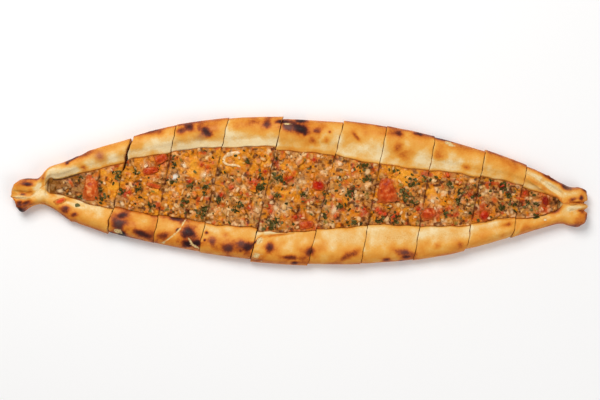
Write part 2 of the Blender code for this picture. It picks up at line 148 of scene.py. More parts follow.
def put(index, x, lean, y, z):
    """Section points as places: (x + lean (y + nudge) + wander, y + nudge, z); x wanders near a cut."""
    wander = 0 * y
    for at, rough in zip(CUT_AT, CUT_WANDER):
        near = np.exp(-(((x - at) / (5 * MM)) ** 2))[:, None]
        if at == CUT_AT[0]:
            wander = wander + near * np.sign(index - 0.5) * TORN_OPEN * ease((y - 14 * MM) / (8 * MM))
        waves = np.sin(y / (3.1 * MM) + at * 900) + np.sin(y / (1.3 * MM) + at * 400) / 2
        wander = wander + near * rough * waves
    foot = 0.27 * ease((8 * MM - z) / (5 * MM))
    if index > 0:
        wander = wander - foot * CUT_WIDTH[index - 1] * np.exp(-(((x - x[0]) / (3 * MM)) ** 2))[:, None]
    if index < len(CUT_AT):
        wander = wander + foot * CUT_WIDTH[index] * np.exp(-(((x - x[-1]) / (3 * MM)) ** 2))[:, None]
    y = y + NUDGE[index]
    return np.stack([x[:, None] + lean[:, None] * y + wander, y, z], axis=-1)


# The crust: wheat dough, rolled thin, folded over at both sides and baked on stone. It is pale and
# smooth where the fold lies on the filling, golden on the roll's outside, and scorched where
# bubbles rose. Cut faces show a close pale crumb.
CROWN = 16.4 * MM
WIDEST = 6.2 * MM
FLOOR = 4.8 * MM
NOSE = 10.8 * MM
NOSE_HALF = 1.1 * MM
TUCK = 4.6 * MM
SIDE_STEPS = (3, 5, 14, 14, 13, 9, 8, 7, 6, 4, 4)
BOTTOM_STEPS = (12, 12, 12, 12)
CAP_ROWS = 9
TIP_ROUNDING = 7 * MM
# Scorched bubbles as seen from above: x, y, half length, half width (mm), turn (deg), scorch, ash
SCORCHES = np.array([
    (-175.6, 30.6, 5.2, 4.6, 0, 0.55, 0.75), (-190.2, 21.1, 3.2, 2.8, 0, 0.68, 0),
    (-204.4, 25.5, 2, 1.8, 0, 0.6, 0), (-199.4, 29.6, 6.5, 1.8, 30, 0.62, 0),
    (-187, 33.6, 7, 3.5, 25, 0.28, 0), (-129.4, 53.9, 8, 4, 10, 0.32, 0),
    (-96.8, 56.5, 4.2, 3.8, 0, 0.52, 0), (-82.5, 52.5, 6, 3.4, -42, 0.92, 0),
    (-86.5, 48.6, 5.4, 3.4, 10, 0.3, 0.8), (-104.7, 53.9, 5, 3.2, 0, 0.42, 0),
    (-56.3, 56.8, 4, 4, 0, 0.35, 0), (-41.5, 62, 5, 3.4, 0, 0.36, 0), (-29.6, 60, 3.6, 4.2, 0, 0.55, 0),
    (-0.3, 55.4, 7, 3, -25, 1, 0), (-10.6, 56.8, 5.2, 3.2, -10, 0.7, 0.8),
    (-16, 61.5, 5, 1.6, 0, 0.85, 0), (1.1, 62.6, 4, 1.6, 0, 0.85, 0), (11.4, 44.4, 4.2, 3.8, 0, 0.5, 0),
    (23.1, 45.2, 3.4, 3.2, 0, 0.52, 0), (15.8, 53.2, 4, 3.2, 0, 0.4, 0), (26, 52.5, 1.5, 1.5, 0, 0.6, 0),
    (49.8, 48, 5, 1.7, -50, 0.48, 0), (86.6, 38.6, 6, 4.4, 0, 0.36, 0), (91.6, 31.6, 5.2, 5.2, 0, 0.4, 0),
    (87, 51.6, 3.2, 2.8, 0, 0.45, 0), (104.5, 51, 3.2, 1.3, -10, 0.58, 0),
    (125.7, 46.6, 8, 1.8, -12, 0.6, 0), (123.5, 30.5, 6, 4.2, 0, 0.32, 0),
    (146.1, 21.8, 4.2, 3, -10, 0.52, 0), (-206.2, -14.3, 3.8, 3, 20, 0.66, 0.15),
    (-197.8, -19.7, 2.6, 2.2, 0, 0.68, 0.15), (-159.2, -28.9, 4.6, 4.2, 0, 0.78, 0.45),
    (-155.8, -20.4, 4.4, 2.4, 10, 0.62, 0), (-156.6, -36.9, 3.6, 2.2, 0, 1, 0),
    (-167.6, -38, 3.2, 2, 30, 0.62, 0), (-139.8, -36.1, 7, 2.8, -20, 0.8, 0.1),
    (-97.9, -35, 5.6, 5, 20, 0.96, 0), (-98.6, -45.4, 4.6, 3, 0, 1, 0), (-90, -44.6, 3.8, 3, 0, 1, 0),
    (-107.4, -33.2, 1.6, 1.1, 40, 0.95, 0), (-118.3, -38.3, 5.6, 4, 20, 0.55, 0),
    (-108.8, -23.7, 7, 3, -10, 0.48, 0), (-82.1, -35.4, 1.6, 1.5, 0, 0.76, 0),
    (-83.6, -42.2, 1.4, 1.3, 0, 0.72, 0), (-76.6, -42.7, 4, 4, 0, 0.6, 0.35),
    (-62.8, -49.3, 4.2, 3.8, 0, 0.62, 0.35), (-65.7, -37.6, 3.4, 3, 0, 0.32, 0),
    (-45.8, -48.4, 5, 4, 20, 0.85, 0), (-51.5, -45.4, 3.6, 3.2, 0, 0.55, 0.4),
    (-27.3, -48.1, 4.4, 5.4, 0, 0.66, 0), (-9.1, -57.4, 8.4, 2.3, -3, 0.64, 0),
    (-5, -62.4, 3, 1.6, 0, 0.6, 0), (9.2, -52.2, 4, 3.4, 20, 0.6, 0), (45.7, -54.3, 9, 3.2, 26, 0.43, 0),
    (38.5, -58.6, 5, 2.6, 30, 0.36, 0), (92.1, -52.9, 6.8, 3, -12, 0.66, 0.35),
    (93.5, -57, 3.6, 2, 0, 0.76, 0), (76, -59.4, 4, 1.6, 0, 0.55, 0), (89.2, -61.6, 1.6, 1.2, 0, 0.9, 0),
    (119.9, -47.1, 3.2, 2.8, 0, 0.36, 0), (140.3, -45.6, 3.6, 2.8, 0, 0.36, 0),
    (181.6, -28.8, 5.4, 2.4, 12, 0.44, 0), (-238.6, 6.6, 5.2, 1.9, -8, 0.8, 0.1),
    (-240, 12.4, 9, 1.1, -2, 0.62, 0), (-244.6, -2.4, 3.2, 1.8, -20, 0.62, 0),
    (-246.9, -9.9, 2.8, 2.6, 0, 0.52, 0), (-239.8, -8.8, 4, 2, 20, 0.42, 0),
    (-246.4, -16.2, 2.8, 2.2, 0, 1, 0), (-236.2, 1.6, 2.6, 2, 0, 0.45, 0),
    (239.6, -6.8, 3.6, 1.6, 20, 0.3, 0), (246.9, -5.1, 1.8, 2.6, 10, 0.8, 0),
    (250.6, 1.4, 3, 1.4, -30, 0.5, 0), (252, -22.7, 1.4, 5.4, 0, 0.24, 0),
    (243, -29.6, 7, 1.5, 0, 0.2, 0), (243.5, -9.4, 7, 1, 1, 0.52, 0), (245.5, -16.6, 5.5, 0.9, 4, 0.5, 0),
    (236, 3, 5, 1.2, -25, 0.3, 0), (248, -17.4, 2, 1.8, 0, 0.34, 0), (232.6, 3.8, 4.6, 1.6, -33, 0.42, 0),
    (220, 12, 9, 1.4, -28, 0.4, 0), (-230.5, 12.4, 2.6, 3.6, -50, 0.4, 0),
    (-38.8, -43.6, 6.4, 0.9, 46, 0.9, 0),
])
# Softer changes of tone, as scorches but with more (+) or less (-) baking and a share of bare crumb; the
# row at x 220.6 is painted shade, a dark line in a crease of the right end's fold
TONES = np.array([
    (-242.6, 1.7, 7, 4, 0, 0.1, 0), (-237.4, -9.6, 4, 3, 0, 0.15, 0),
    (-245.4, -4.6, 6, 1.8, -4, -0.55, 0.65), (-243.4, -9.2, 4.5, 2.2, -20, 0.2, 0),
    (-228.6, 0.9, 6, 9, 0, -0.5, 0.1), (-223.8, 14.8, 6, 1.8, 58, 0.42, 0),
    (-218, 17.6, 4, 2.8, 20, -0.45, 0), (-207, 16.4, 13, 3.4, 8, -0.45, 0.3),
    (-219.8, -0.6, 6.5, 2.2, -36, 0.62, 0), (-225.6, 6.4, 1.8, 7, -4, 0.5, 0),
    (-207.4, -7.8, 6, 1.8, 22, 0.45, 0), (-202, -15, 9, 3.4, -24, 0.1, 0),
    (-200, -11, 8, 1.5, -20, -0.4, 0.1), (-184, 27.2, 8, 5, 24, -0.26, 0.1),
    (-164, 31, 9, 5, 20, -0.12, 0), (-201, 23, 8, 4, 24, 0.16, 0),
    (206.5, 13.4, 8.5, 2.3, -35, -0.5, 0.55), (220, 4.6, 9, 2.3, -36, -0.5, 0.55),
    (204, 9, 8, 1.6, -35, 0.32, 0), (217, 0.4, 9, 1.6, -35, 0.32, 0), (216, 13.6, 17, 1.6, -29, 0.22, 0),
    (240, -0.2, 6.5, 3.2, 0, -0.5, 0.25), (239, -6.4, 6, 2.2, 6, 0.34, 0),
    (244, -12.8, 9.5, 2.9, 2, -0.36, 0.15), (232, -5, 4.5, 7, 0, 0.18, 0),
    (243, -22.6, 8, 6.4, 0, 0.12, 0), (239.6, -15.6, 3.8, 1.6, -10, -0.9, 0.5),
    (242, -18.4, 2.5, 3.2, 0, -0.25, 0), (225, -16.4, 7, 2.4, 32, 0.66, 0),
    (192.6, -32.6, 7, 1.7, 60, -0.34, 0), (207.3, 10.4, 8.5, 1, -41, 0.26, 0),
    # painted shade: the first row below, at x 220.6, darkens the crease of the right end's fold
    (220.6, 0.2, 8.5, 0.9, -33, 0.4, 0), (197.6, -28.4, 10, 4, 25, 0.22, 0),
    (216, -26.4, 10, 2.2, 18, 0.1, 0), (-19.5, -34.2, 13, 1.7, 10, -0.6, 0.45),
    (-19.5, -37.8, 13.5, 1.1, 8, 0.46, 0), (-54, 42, 24, 3.2, 2, -0.3, 0.15),
    (-96, 38, 14, 2.6, 8, -0.22, 0.1), (88, -40, 20, 4.4, 0, 0.02, 0.4), (40, -41, 16, 4.4, 4, 0.02, 0.3),
    (128, -38, 18, 4.4, 3, 0.02, 0.3), (60, 40, 14, 6, -12, -0.15, 0), (86, 36, 6.5, 9, 10, 0.16, 0),
    (118, 27, 16, 3.4, -8, -0.2, 0),
])
# How much darker or paler each length's upper and lower flap came out
UPPER_BAKE = np.array([0.06, 0.00, 0.05, -0.06, 0.07, 0.03, 0.06, 0.06, 0.11, 0.08])
LOWER_BAKE = np.array([0.10, 0.36, 0.21, 0.16, 0.14, 0.04, 0.05, 0.08, 0.10, 0.18])
# and the same for the outermost third of each flap: on the upper flaps as baking, on the lower flaps as
# painted light, paler where their outer sides face away from the lamps
UPPER_RIM = [0.02, 0.04, 0.00, -0.04, 0.00, 0.09, 0.02, 0.06, 0.03, 0.07]
LOWER_RIM_LIGHT = [-0.08, -0.13, -0.11, -0.12, -0.09, -0.08, -0.09, -0.09, -0.12, -0.15]
# Torn or cracked places where the pale crumb shows: x, y, half length, half width (mm), turn, depth (mm)
TEARS = np.array([
    (-160.4, -34.7, 2.8, 2.2, 0, 0.5), (-102.4, -27.4, 4.6, 0.75, 61, 0.4),
    (-107, -34.2, 4.6, 0.8, 50, 0.5), (-114.6, -40.6, 6.4, 0.8, 35, 0.5),
    (-96.6, -42.6, 3.4, 0.7, 120, 0.4), (-92.6, -47.4, 2.8, 0.7, 150, 0.4),
    (-12, 59.8, 3.2, 0.8, -5, 0.2), (-35.8, -42.8, 5, 2.2, 58, 0.4), (-38.2, -56, 4.8, 3, 20, 0.6),
    (131.6, 42.4, 4.6, 1.9, -35, 0.5),
])
# Folds that stand up or sink in: polyline ends x1, y1, x2, y2, half width, height (mm)
FOLDS = np.array([
    (201, 20, 218, 12.5, 1.5, 1.3), (218, 12.5, 236, 1.4, 1.5, 1.6), (200, 17, 212.8, 9.2, 2, -1.7),
    (212.8, 9.2, 229, -1.2, 1.9, -1.8), (199, 12.4, 211, 4.2, 1.5, 1.2), (211, 4.2, 230, -8, 1.5, 1.3),
    (236, 1, 251.5, 1.6, 2.2, 1.3), (238, -9, 249, -7.5, 1.4, 0.9), (238, -9.6, 254, -9.4, 1.3, -2.2),
    (238, -17, 254, -15.6, 1.3, -2), (236, -13.4, 252, -12.4, 1.5, 0.9),
    (239, -22.6, 247, -22.8, 4.4, 1.7), (238, -4, 247, -3.4, 3.4, 1.2), (237, -26.5, 250, -27, 2, 0.8),
    (-254, -3.6, -236, -5.4, 1.1, 1.5), (-252, -6.4, -237, -8.4, 1.5, -1.2),
    (-252, 0.2, -236, -1.8, 1.5, -1.2), (-251, 6, -238, 7.6, 1.6, 0.8),
    (-250, -13, -240, -11.6, 1.6, 0.8), (-228.5, 9, -221, 15.6, 1.4, 0.8), (-31, -36, -8, -32, 1.3, 1.2),
    (-33, -39.4, -6, -35.8, 1, -1.1), (-214, -7.6, -206, -6.2, 1.2, 0.6),
])


def scrambled(cell, seed):
    """One whole number for each lattice cell: its coordinates times large primes, xored and mixed."""
    h = seed * 2654435
    for axis, prime in zip(range(cell.shape[-1]), (73856093, 19349663, 83492791)):
        h = h ^ (cell[..., axis] * prime)
    return ((h ^ (h >> 13)) * 1274126177) & 0xFFFFFFFF


def swell(points, size, seed):
    """Value noise in -1..1: hashed values on a lattice `size` apart, eased between its nodes."""
    p = np.asarray(points) / size + 31.7 * seed
    cell = np.floor(p).astype(np.int64)
    t = p - cell
    t = t * t * (3 - 2 * t)
    total = np.zeros(p.shape[:-1])
    for corner in itertools.product((0, 1), repeat=3):
        h = scrambled(cell + np.array(corner), seed)
        weight = np.prod(np.where(np.array(corner) == 1, t, 1 - t), axis=-1)
        total += weight * (((h ^ (h >> 15)) & 0xFFFF) / 32767.5 - 1)
    return total


def through(controls, steps):
    """Catmull-Rom rows through control columns: controls (S, M) times one basis (M, N)."""
    count = controls.shape[1]
    basis = []
    for i, step in enumerate(steps):
        for t in np.arange(step) / step:
            row = np.zeros(count)
            for j, w in zip(
                (i - 1, i, i + 1, i + 2),
                (
                    -0.5 * t + t**2 - 0.5 * t**3,
                    1 - 2.5 * t**2 + 1.5 * t**3,
                    0.5 * t + 2 * t**2 - 1.5 * t**3,
                    -0.5 * t**2 + 0.5 * t**3,
                ),
            ):
                row[min(max(j, 0), count - 1)] += w
            basis.append(row)
    basis.append(np.eye(count)[-1])
    return controls @ np.array(basis).T


def crust_side(outer, lip, crown, rim, nose):
    """Control points of one side from lip to foot: nose, rim, slope, quarter-ellipse roll, foot."""
    side = np.sign(outer - lip)
    width = np.abs(outer - lip)
    roll = np.minimum(0.46 * width, 12 * MM)
    ys, zs = [lip, lip + side * np.minimum(0.7 * MM, 0.1 * width)], [nose, rim]
    for share in (0.88, 0.55, 0.25):
        ys.append(outer - side * (roll + share * (width - roll)))
        zs.append(crown - (crown - rim) * 0.94 * ease(share))
    for turn in np.radians((80, 56, 32, 8)):
        ys.append(outer - side * roll * (1 - np.cos(turn)))
        zs.append(WIDEST + (crown - WIDEST) * np.sin(turn))
    ys += [outer, outer - side * 0.055 * width, outer - side * np.minimum(5 * MM, 0.35 * width)]
    zs += [np.full_like(lip, WIDEST - 2 * MM), np.full_like(lip, 1 * MM), np.zeros_like(lip)]
    return ys, zs


def crown_height(x, side):
    """The roll's height: 16.4 mm at full width, less at the ends, with soft puffs along it."""
    low, high = body_edges(x)
    full = 0.86 + 0.14 * ease((high - low) / (1.4 * HALF_WIDTH))
    puff = 0.9 * MM * np.sin(x / (17 * MM) + 2.1 * side) + 0.6 * MM * np.sin(x / (7.3 * MM) - 1.3 * side)
    return CROWN * full + puff


def crust_rows(index):
    """Outside rows and channel rows of one length, each from the upper lip to the lower lip."""
    x, lean = stations(index)
    low, high = outer_edges(x)
    lip_low, lip_high = lip_edges(x)
    opened = (x > POCKET[0]) & (x < POCKET[1])
    left, right = LEFT_END[0, 0] * MM, RIGHT_END[-1, 0] * MM
    tip = np.clip(np.maximum(left + TIP_ROUNDING - x, x - right + TIP_ROUNDING) / TIP_ROUNDING, 0, 1)
    roundness = np.sqrt(1 - tip**2)
    seam = (0.7 + 1.7 * ease((np.abs(x) / MM - 236) / 8)) * MM
    closing = ease((lip_high - lip_low) / (6 * MM))
    flat_rim = crown_height(x, 0) - seam
    rim = flat_rim + closing * (NOSE + NOSE_HALF - flat_rim)
    nose = flat_rim + closing * (NOSE - flat_rim)
    up_y, up_z = crust_side(high, lip_high, crown_height(x, 1), rim, nose)
    lo_y, lo_z = crust_side(low, lip_low, crown_height(x, -1), rim, nose)
    middle = [up_y[-1] + f * (lo_y[-1] - up_y[-1]) for f in (0.25, 0.5, 0.75)]
    ys = np.stack(up_y + middle + lo_y[::-1], axis=1)
    zs = np.stack(up_z + [np.zeros_like(x)] * 3 + lo_z[::-1], axis=1)
    steps = SIDE_STEPS + BOTTOM_STEPS + SIDE_STEPS[::-1]
    y, z = through(ys, steps), np.maximum(through(zs, steps), 0)
    mid = 0.45 * rim[:, None]
    z = mid + (z - mid) * roundness[:, None]
    centre = np.where(tip >= 1, 0, 1)[:, None]
    y = (low + high)[:, None] / 2 + (y - (low + high)[:, None] / 2) * centre
    tuck = np.minimum(TUCK, 0.3 * np.minimum(high - lip_high, lip_low - low))
    tuck = tuck * ease((lip_high - lip_low) / (5 * MM))
    under = NOSE - NOSE_HALF
    cy = [lip_high, lip_high + 0.3 * tuck, lip_high + tuck, lip_high + tuck]
    cy += [(lip_high + lip_low) / 2, lip_low - tuck, lip_low - tuck, lip_low - 0.3 * tuck, lip_low]
    cz = [NOSE, under, under - 0.4 * MM, FLOOR, FLOOR, FLOOR, under - 0.4 * MM, under, NOSE]
    cz = nose[:, None] + ease((lip_high - lip_low) / (3 * MM))[:, None] * (np.array(cz) - nose[:, None])
    spots = np.linspace(0, 8, y.shape[1])
    k = np.minimum(spots.astype(int), 7)
    part = spots - k
    cy = np.stack(cy, axis=1)
    channel_y = cy[:, k] * (1 - part) + cy[:, k + 1] * part
    channel_z = cz[:, k] * (1 - part) + cz[:, k + 1] * part
    channel_y = np.where(opened[:, None], channel_y, y[:, :1])
    channel_z = np.where(opened[:, None], channel_z, z[:, :1])
    return put(index, x, lean, y, z), put(index, x, lean, channel_y, channel_z), x


def mark(points, marks, wobble=0.22):
    """Strength 0..1 of each oval mark at the points, as seen from above, with wandering edges."""
    flat = points[..., :2] / MM
    wander = swell(points, 3.1 * MM, 11) * wobble + swell(points, 1.3 * MM, 12) * wobble * 0.5
    for row in marks:
        dx, dy = flat[..., 0] - row[0], flat[..., 1] - row[1]
        c, s = np.cos(np.radians(row[4])), np.sin(np.radians(row[4]))
        away = np.hypot((dx * c + dy * s) / row[2], (dy * c - dx * s) / row[3])
        yield row, np.exp(-((np.maximum(away * (1 + wander), 0) / 0.98) ** 2.0))


def fold_height(points):
    """Sum over folds of height * exp(-(distance from the line / half width)^2)."""
    flat = points[..., :2] / MM
    total = np.zeros(points.shape[:-1])
    for x1, y1, x2, y2, half, height in FOLDS:
        a, d = np.array([x1, y1]), np.array([x2 - x1, y2 - y1])
        t = np.clip(((flat - a) @ d) / (d @ d), 0, 1)
        away = np.linalg.norm(flat - a - t[..., None] * d, axis=-1)
        total += height * np.exp(-((away / half) ** 2)) * (0.8 + 0.2 * np.sin(np.pi * t))
    return total * MM


def normals_of(grid):
    """Unit normals of a grid of points: the cross product of its two central differences."""
    n = np.cross(np.gradient(grid, axis=1), np.gradient(grid, axis=0))
    return n / np.maximum(np.linalg.norm(n, axis=-1, keepdims=True), 1e-12)


def solid_between(name, upper, lower, values_up, values_low, values_cap, cap_rows, rough):
    """A closed body of two sheets (S, N) that meet along their sides, with a grid over each end."""
    fade = np.linspace(0, 1, cap_rows + 2)[1:-1, None, None]
    end = upper[-1] + fade * (lower[-1] - upper[-1])
    start = lower[0] + fade * (upper[0] - lower[0])
    thick = np.clip(np.linalg.norm(upper - lower, axis=-1) / (2 * MM), 0, 1)
    bulge = (np.sin(np.pi * fade[..., 0]) * thick[-1])[..., None] * rough
    end = end + bulge * swell(end, 2.2 * MM, 5)[..., None] * np.array([1.0, 0, 0])
    bulge = (np.sin(np.pi * fade[..., 0]) * thick[0])[..., None] * rough
    start = start + bulge * swell(start, 2.2 * MM, 6)[..., None] * np.array([1.0, 0, 0])
    grid = np.concatenate([upper, end, lower[::-1], start])
    rows, columns = grid.shape[:2]
    cap = np.broadcast_to(values_cap, end.shape[:2] + (4,))
    paint = np.concatenate([values_up, cap, values_low[::-1], cap])
    ids = np.arange(rows * columns).reshape(rows, columns)
    nxt = np.roll(ids, -1, axis=0)
    quads = np.stack([ids[:, :-1], nxt[:, :-1], nxt[:, 1:], ids[:, 1:]], axis=-1).reshape(-1, 4)
    return mesh_piece(name, grid.reshape(-1, 3), quads, paint.reshape(-1, 4), weld=True)


def mesh_piece(name, points, faces, paint, weld=False):
    """A mesh object from points (V, 3), equal-sided faces (F, 3 or 4) and a colour for each point."""
    mesh = bpy.data.meshes.new(name)
    mesh.vertices.add(len(points))
    mesh.vertices.foreach_set("co", np.ascontiguousarray(points, dtype=np.float32).ravel())
    mesh.loops.add(faces.size)
    mesh.loops.foreach_set("vertex_index", np.ascontiguousarray(faces, dtype=np.int32).ravel())
    mesh.polygons.add(len(faces))
    mesh.polygons.foreach_set("loop_start", np.arange(len(faces), dtype=np.int32) * faces.shape[1])
    mesh.update(calc_edges=True)
    layer = mesh.color_attributes.new("paint", "FLOAT_COLOR", "POINT")
    layer.data.foreach_set("color", np.ascontiguousarray(paint, dtype=np.float32).ravel())
    if weld:
        bm = bmesh.new()
        bm.from_mesh(mesh)
        bmesh.ops.remove_doubles(bm, verts=bm.verts, dist=0.004 * MM)
        bmesh.ops.dissolve_degenerate(bm, edges=bm.edges, dist=0.002 * MM)
        bmesh.ops.recalc_face_normals(bm, faces=bm.faces)
        if bm.calc_volume(signed=True) < 0:
            bmesh.ops.reverse_faces(bm, faces=bm.faces)
        bm.to_mesh(mesh)
        bm.free()
    mesh.shade_smooth()
    piece = bpy.data.objects.new(name, mesh)
    bpy.context.scene.collection.objects.link(piece)
    return piece


def srgb(code):
    """A hex colour as linear RGBA: c/12.92 below 0.04045, else ((c + 0.055)/1.055)^2.4."""
    c = np.array([int(code[i : i + 2], 16) / 255 for i in (1, 3, 5)])
    return (*np.where(c <= 0.04045, c / 12.92, ((c + 0.055) / 1.055) ** 2.4), 1.0)


def add(tree, kind, sockets=None, stops=None, **settings):
    """Adds one node: settings by name, then socket values or links by socket name or number."""
    node = tree.nodes.new(kind)
    for key, value in settings.items():
        setattr(node, key, value)
    if stops:
        ramp = node.color_ramp
        for place, code in stops[1:-1]:
            ramp.elements.new(place)
        for element, (place, code) in zip(ramp.elements, stops):
            element.position = place
            element.color = srgb(code)
    for key, value in (sockets or {}).items():
        if isinstance(value, bpy.types.NodeSocket):
            tree.links.new(value, node.inputs[key])
        else:
            node.inputs[key].default_value = value
    return node


def surface(name, roughness, ior=1.5, specular=0.5):
    """A new material: itself, its node tree, its shader and the colour painted on the points."""
    material = bpy.data.materials.new(name)
    material.use_nodes = True
    shader = material.node_tree.nodes["Principled BSDF"]
    for socket, value in (("Roughness", roughness), ("IOR", ior), ("Specular IOR Level", specular)):
        shader.inputs[socket].default_value = value
    paint = add(material.node_tree, "ShaderNodeAttribute", attribute_name="paint")
    return material, material.node_tree, shader, paint


def noise(tree, scale, detail, **more):
    """Soft noise over the object's own coordinates, 0..1 and mostly near 0.5."""
    place = add(tree, "ShaderNodeTexCoord").outputs["Object"]
    sockets = {"Vector": place, "Scale": scale, "Detail": detail, **more}
    return add(tree, "ShaderNodeTexNoise", sockets).outputs[0]


def maths(tree, operation, *values):
    """One step of arithmetic on sockets or numbers: a + b, a b, or a b + c for MULTIPLY_ADD."""
    return add(tree, "ShaderNodeMath", dict(enumerate(values)), operation=operation).outputs[0]


def mixed(tree, share, first, second):
    """Two colours mixed by a share: first (1 - share) + second share."""
    return add(tree, "ShaderNodeMix", {0: share, 6: first, 7: second}, data_type="RGBA").outputs[2]


def ramped(tree, value, stops):
    """The colour that a row of colours has at the place given by a value."""
    return add(tree, "ShaderNodeValToRGB", {0: value}, stops=stops).outputs[0]


def ranged(tree, value, low, high):
    """A value of 0.3..0.7 stretched to run from low to high."""
    return add(tree, "ShaderNodeMapRange", {0: value, 1: 0.3, 2: 0.7, 3: low, 4: high}).outputs[0]


def toned(tree, paint, value):
    """The painted colour times a value that makes it lighter or darker."""
    sockets = {"Color": paint.outputs["Color"], "Value": value}
    return add(tree, "ShaderNodeHueSaturation", sockets).outputs[0]


def roughened(tree, shader, height, distance, strength):
    """Tilts the shader's normal along a height pattern, as bump."""
    sockets = {"Height": height, "Distance": distance, "Strength": strength}
    tree.links.new(add(tree, "ShaderNodeBump", sockets).outputs[0], shader.inputs["Normal"])


# Baked wheat dough: a dry, faintly waxy skin that runs from cream to gold, brown where it faced the
# oven's heat, near black on the bubbles and greyer where their ash lies; roughness about 0.55.
dough, tree, shader, paint = surface("baked_wheat_dough", 0.55, 1.42, 0.3)
parts = add(tree, "ShaderNodeSeparateColor", {0: paint.outputs["Color"]}).outputs
broad = noise(tree, 150.0, 3.0, Roughness=0.55)
fine = noise(tree, 620.0, 4.0, Roughness=0.6)
bake = maths(tree, "ADD", parts[0], maths(tree, "MULTIPLY_ADD", broad, 0.40, -0.20))
bake = maths(tree, "ADD", bake, maths(tree, "MULTIPLY_ADD", fine, 0.26, -0.13))
char = maths(tree, "MULTIPLY", maths(tree, "MULTIPLY_ADD", fine, 0.6, 0.75), parts[1])
total = maths(tree, "MULTIPLY_ADD", char, 0.47, maths(tree, "MULTIPLY", bake, 0.5))
SKIN = [(0.0, "#f2d7a3"), (0.065, "#ebc07a"), (0.15, "#e8a748"), (0.24, "#e29330"), (0.33, "#d3781b")]
SKIN += [(0.42, "#ad510f"), (0.51, "#762e09"), (0.62, "#481207"), (0.78, "#290705"), (1.0, "#180404")]
CRUMB = [(0.3, "#b98645"), (0.5, "#e0c081"), (0.7, "#efdba6")]
ashen = maths(tree, "MULTIPLY", parts[2], 0.62)
colour = mixed(tree, ashen, ramped(tree, total, SKIN), srgb("#8d5f52"))
crumb = ramped(tree, noise(tree, 900.0, 3.0, Roughness=0.6), CRUMB)
colour = mixed(tree, paint.outputs["Alpha"], colour, crumb)
tree.links.new(colour, shader.inputs["Base Color"])
tree.links.new(ranged(tree, broad, 0.45, 0.62), shader.inputs["Roughness"])
place = add(tree, "ShaderNodeTexCoord").outputs["Object"]
blister = add(tree, "ShaderNodeTexVoronoi", {"Vector": place, "Scale": 420.0}, feature="SMOOTH_F1")
roughened(tree, shader, maths(tree, "MULTIPLY_ADD", blister.outputs[0], 0.5, fine), 0.35 * MM, 0.5)


def crust_paint(index, points, x):
    """Bake, scorch, ash and bare crumb at each point of the outside rows. The bake also carries painted
    light on the lower flaps' outer thirds and painted shade in one crease at the right end.
    """
    low, high = outer_edges(x)
    lip_low, lip_high = lip_edges(x)
    y = points[..., 1]
    up = y > (high + low)[:, None] / 2
    width = np.where(up, (high - lip_high)[:, None], (lip_low - low)[:, None])
    edge = np.where(up, high[:, None], low[:, None])
    inward = np.clip(np.abs(edge - y) / np.maximum(width, MM), 0, 1)
    bake = 0.50 - 0.40 * ease(inward * 1.22) + 0.14 * ease(1 - inward * 12) + 0.26 * ease(inward * 9 - 8.1)
    bake += 0.20 * swell(points, 13 * MM, 1) + 0.14 * swell(points, 6 * MM, 2)
    bake += np.where(up, UPPER_BAKE[index], LOWER_BAKE[index])
    # painted light on the lower flaps' outer thirds, paler where they face away from the lamps; on the
    # upper flaps a change in baking
    bake += ease(1.3 - 2.4 * inward) * np.where(up, UPPER_RIM[index], LOWER_RIM_LIGHT[index])
    bake += 0.10 * ease((np.abs(points[..., 0] / MM + 2) - 236) / 10)
    if index:
        past = points[..., 0] - CUT_AT[index - 1] - CUT_LEAN[index - 1] * y
        bake -= 0.24 * np.exp(-((past / (1.7 * MM)) ** 2)) * ease(0.5 + swell(points, 5 * MM, 10))
    below = points[..., 2] < 1.5 * MM
    mottle = 0.45 + 0.30 * swell(points, 11 * MM, 3) + 0.22 * swell(points, 4 * MM, 4)
    bake = np.where(below, mottle, bake)
    top = ease((points[..., 2] / MM - 3) / 4)
    scorch, ash, bare = np.zeros_like(y), np.zeros_like(y), np.zeros_like(y)
    for row, strength in mark(points, SCORCHES):
        scorch = np.maximum(scorch, strength * row[5])
        ash = np.maximum(ash, strength * row[6])
        bake = bake + 0.22 * strength**0.3 * row[5]
    for row, strength in mark(points, TONES, 0.4):
        bake = bake + strength * row[5]
        bare = np.maximum(bare, strength * row[6])
    for row, strength in mark(points, TEARS, 0.6):
        bare = np.maximum(bare, ease(strength * 2.2 - 0.5))
    spots = ease(swell(points, 5 * MM, 9) * 3.2 - 1.6) * 0.6
    scorch = np.where(below, spots, scorch * top)
    return np.stack([np.clip(bake, 0, 1), scorch * (1 - bare), ash * top * (1 - bare), bare * top], axis=-1)


def crust_relief(points):
    """Outward growth: soft swells, bubbles under the scorches, folds, tears and a fine grain."""
    growth = 0.45 * MM * swell(points, 14 * MM, 21) + 0.22 * MM * swell(points, 5 * MM, 22)
    growth += 0.07 * MM * swell(points, 1.7 * MM, 23)
    for row, strength in mark(points, SCORCHES, 0.15):
        growth += 0.10 * MM * min(row[2], row[3]) * strength * row[5]
    for row, strength in mark(points, TEARS, 0.5):
        growth -= row[5] * MM * strength
    top = ease((points[..., 2] / MM - 4) / 5)
    return (growth + fold_height(points)) * top


# Dents between the lobes of the right end: y, depth, half width (mm)
DENTS = ((-9.6, 2.8, 1.5), (-16.4, 2.4, 1.5), (4.6, 3.6, 2.6), (-30.0, 2.0, 2.2))


def end_dents(points):
    """How far the right end steps in between its lobes: bell curves of y that grow towards the tip."""
    y = points[..., 1] / MM
    dent = sum(depth * np.exp(-(((y - at) / half) ** 2)) for at, depth, half in DENTS)
    return dent * MM * ease((points[..., 0] / MM - 242) / 10)


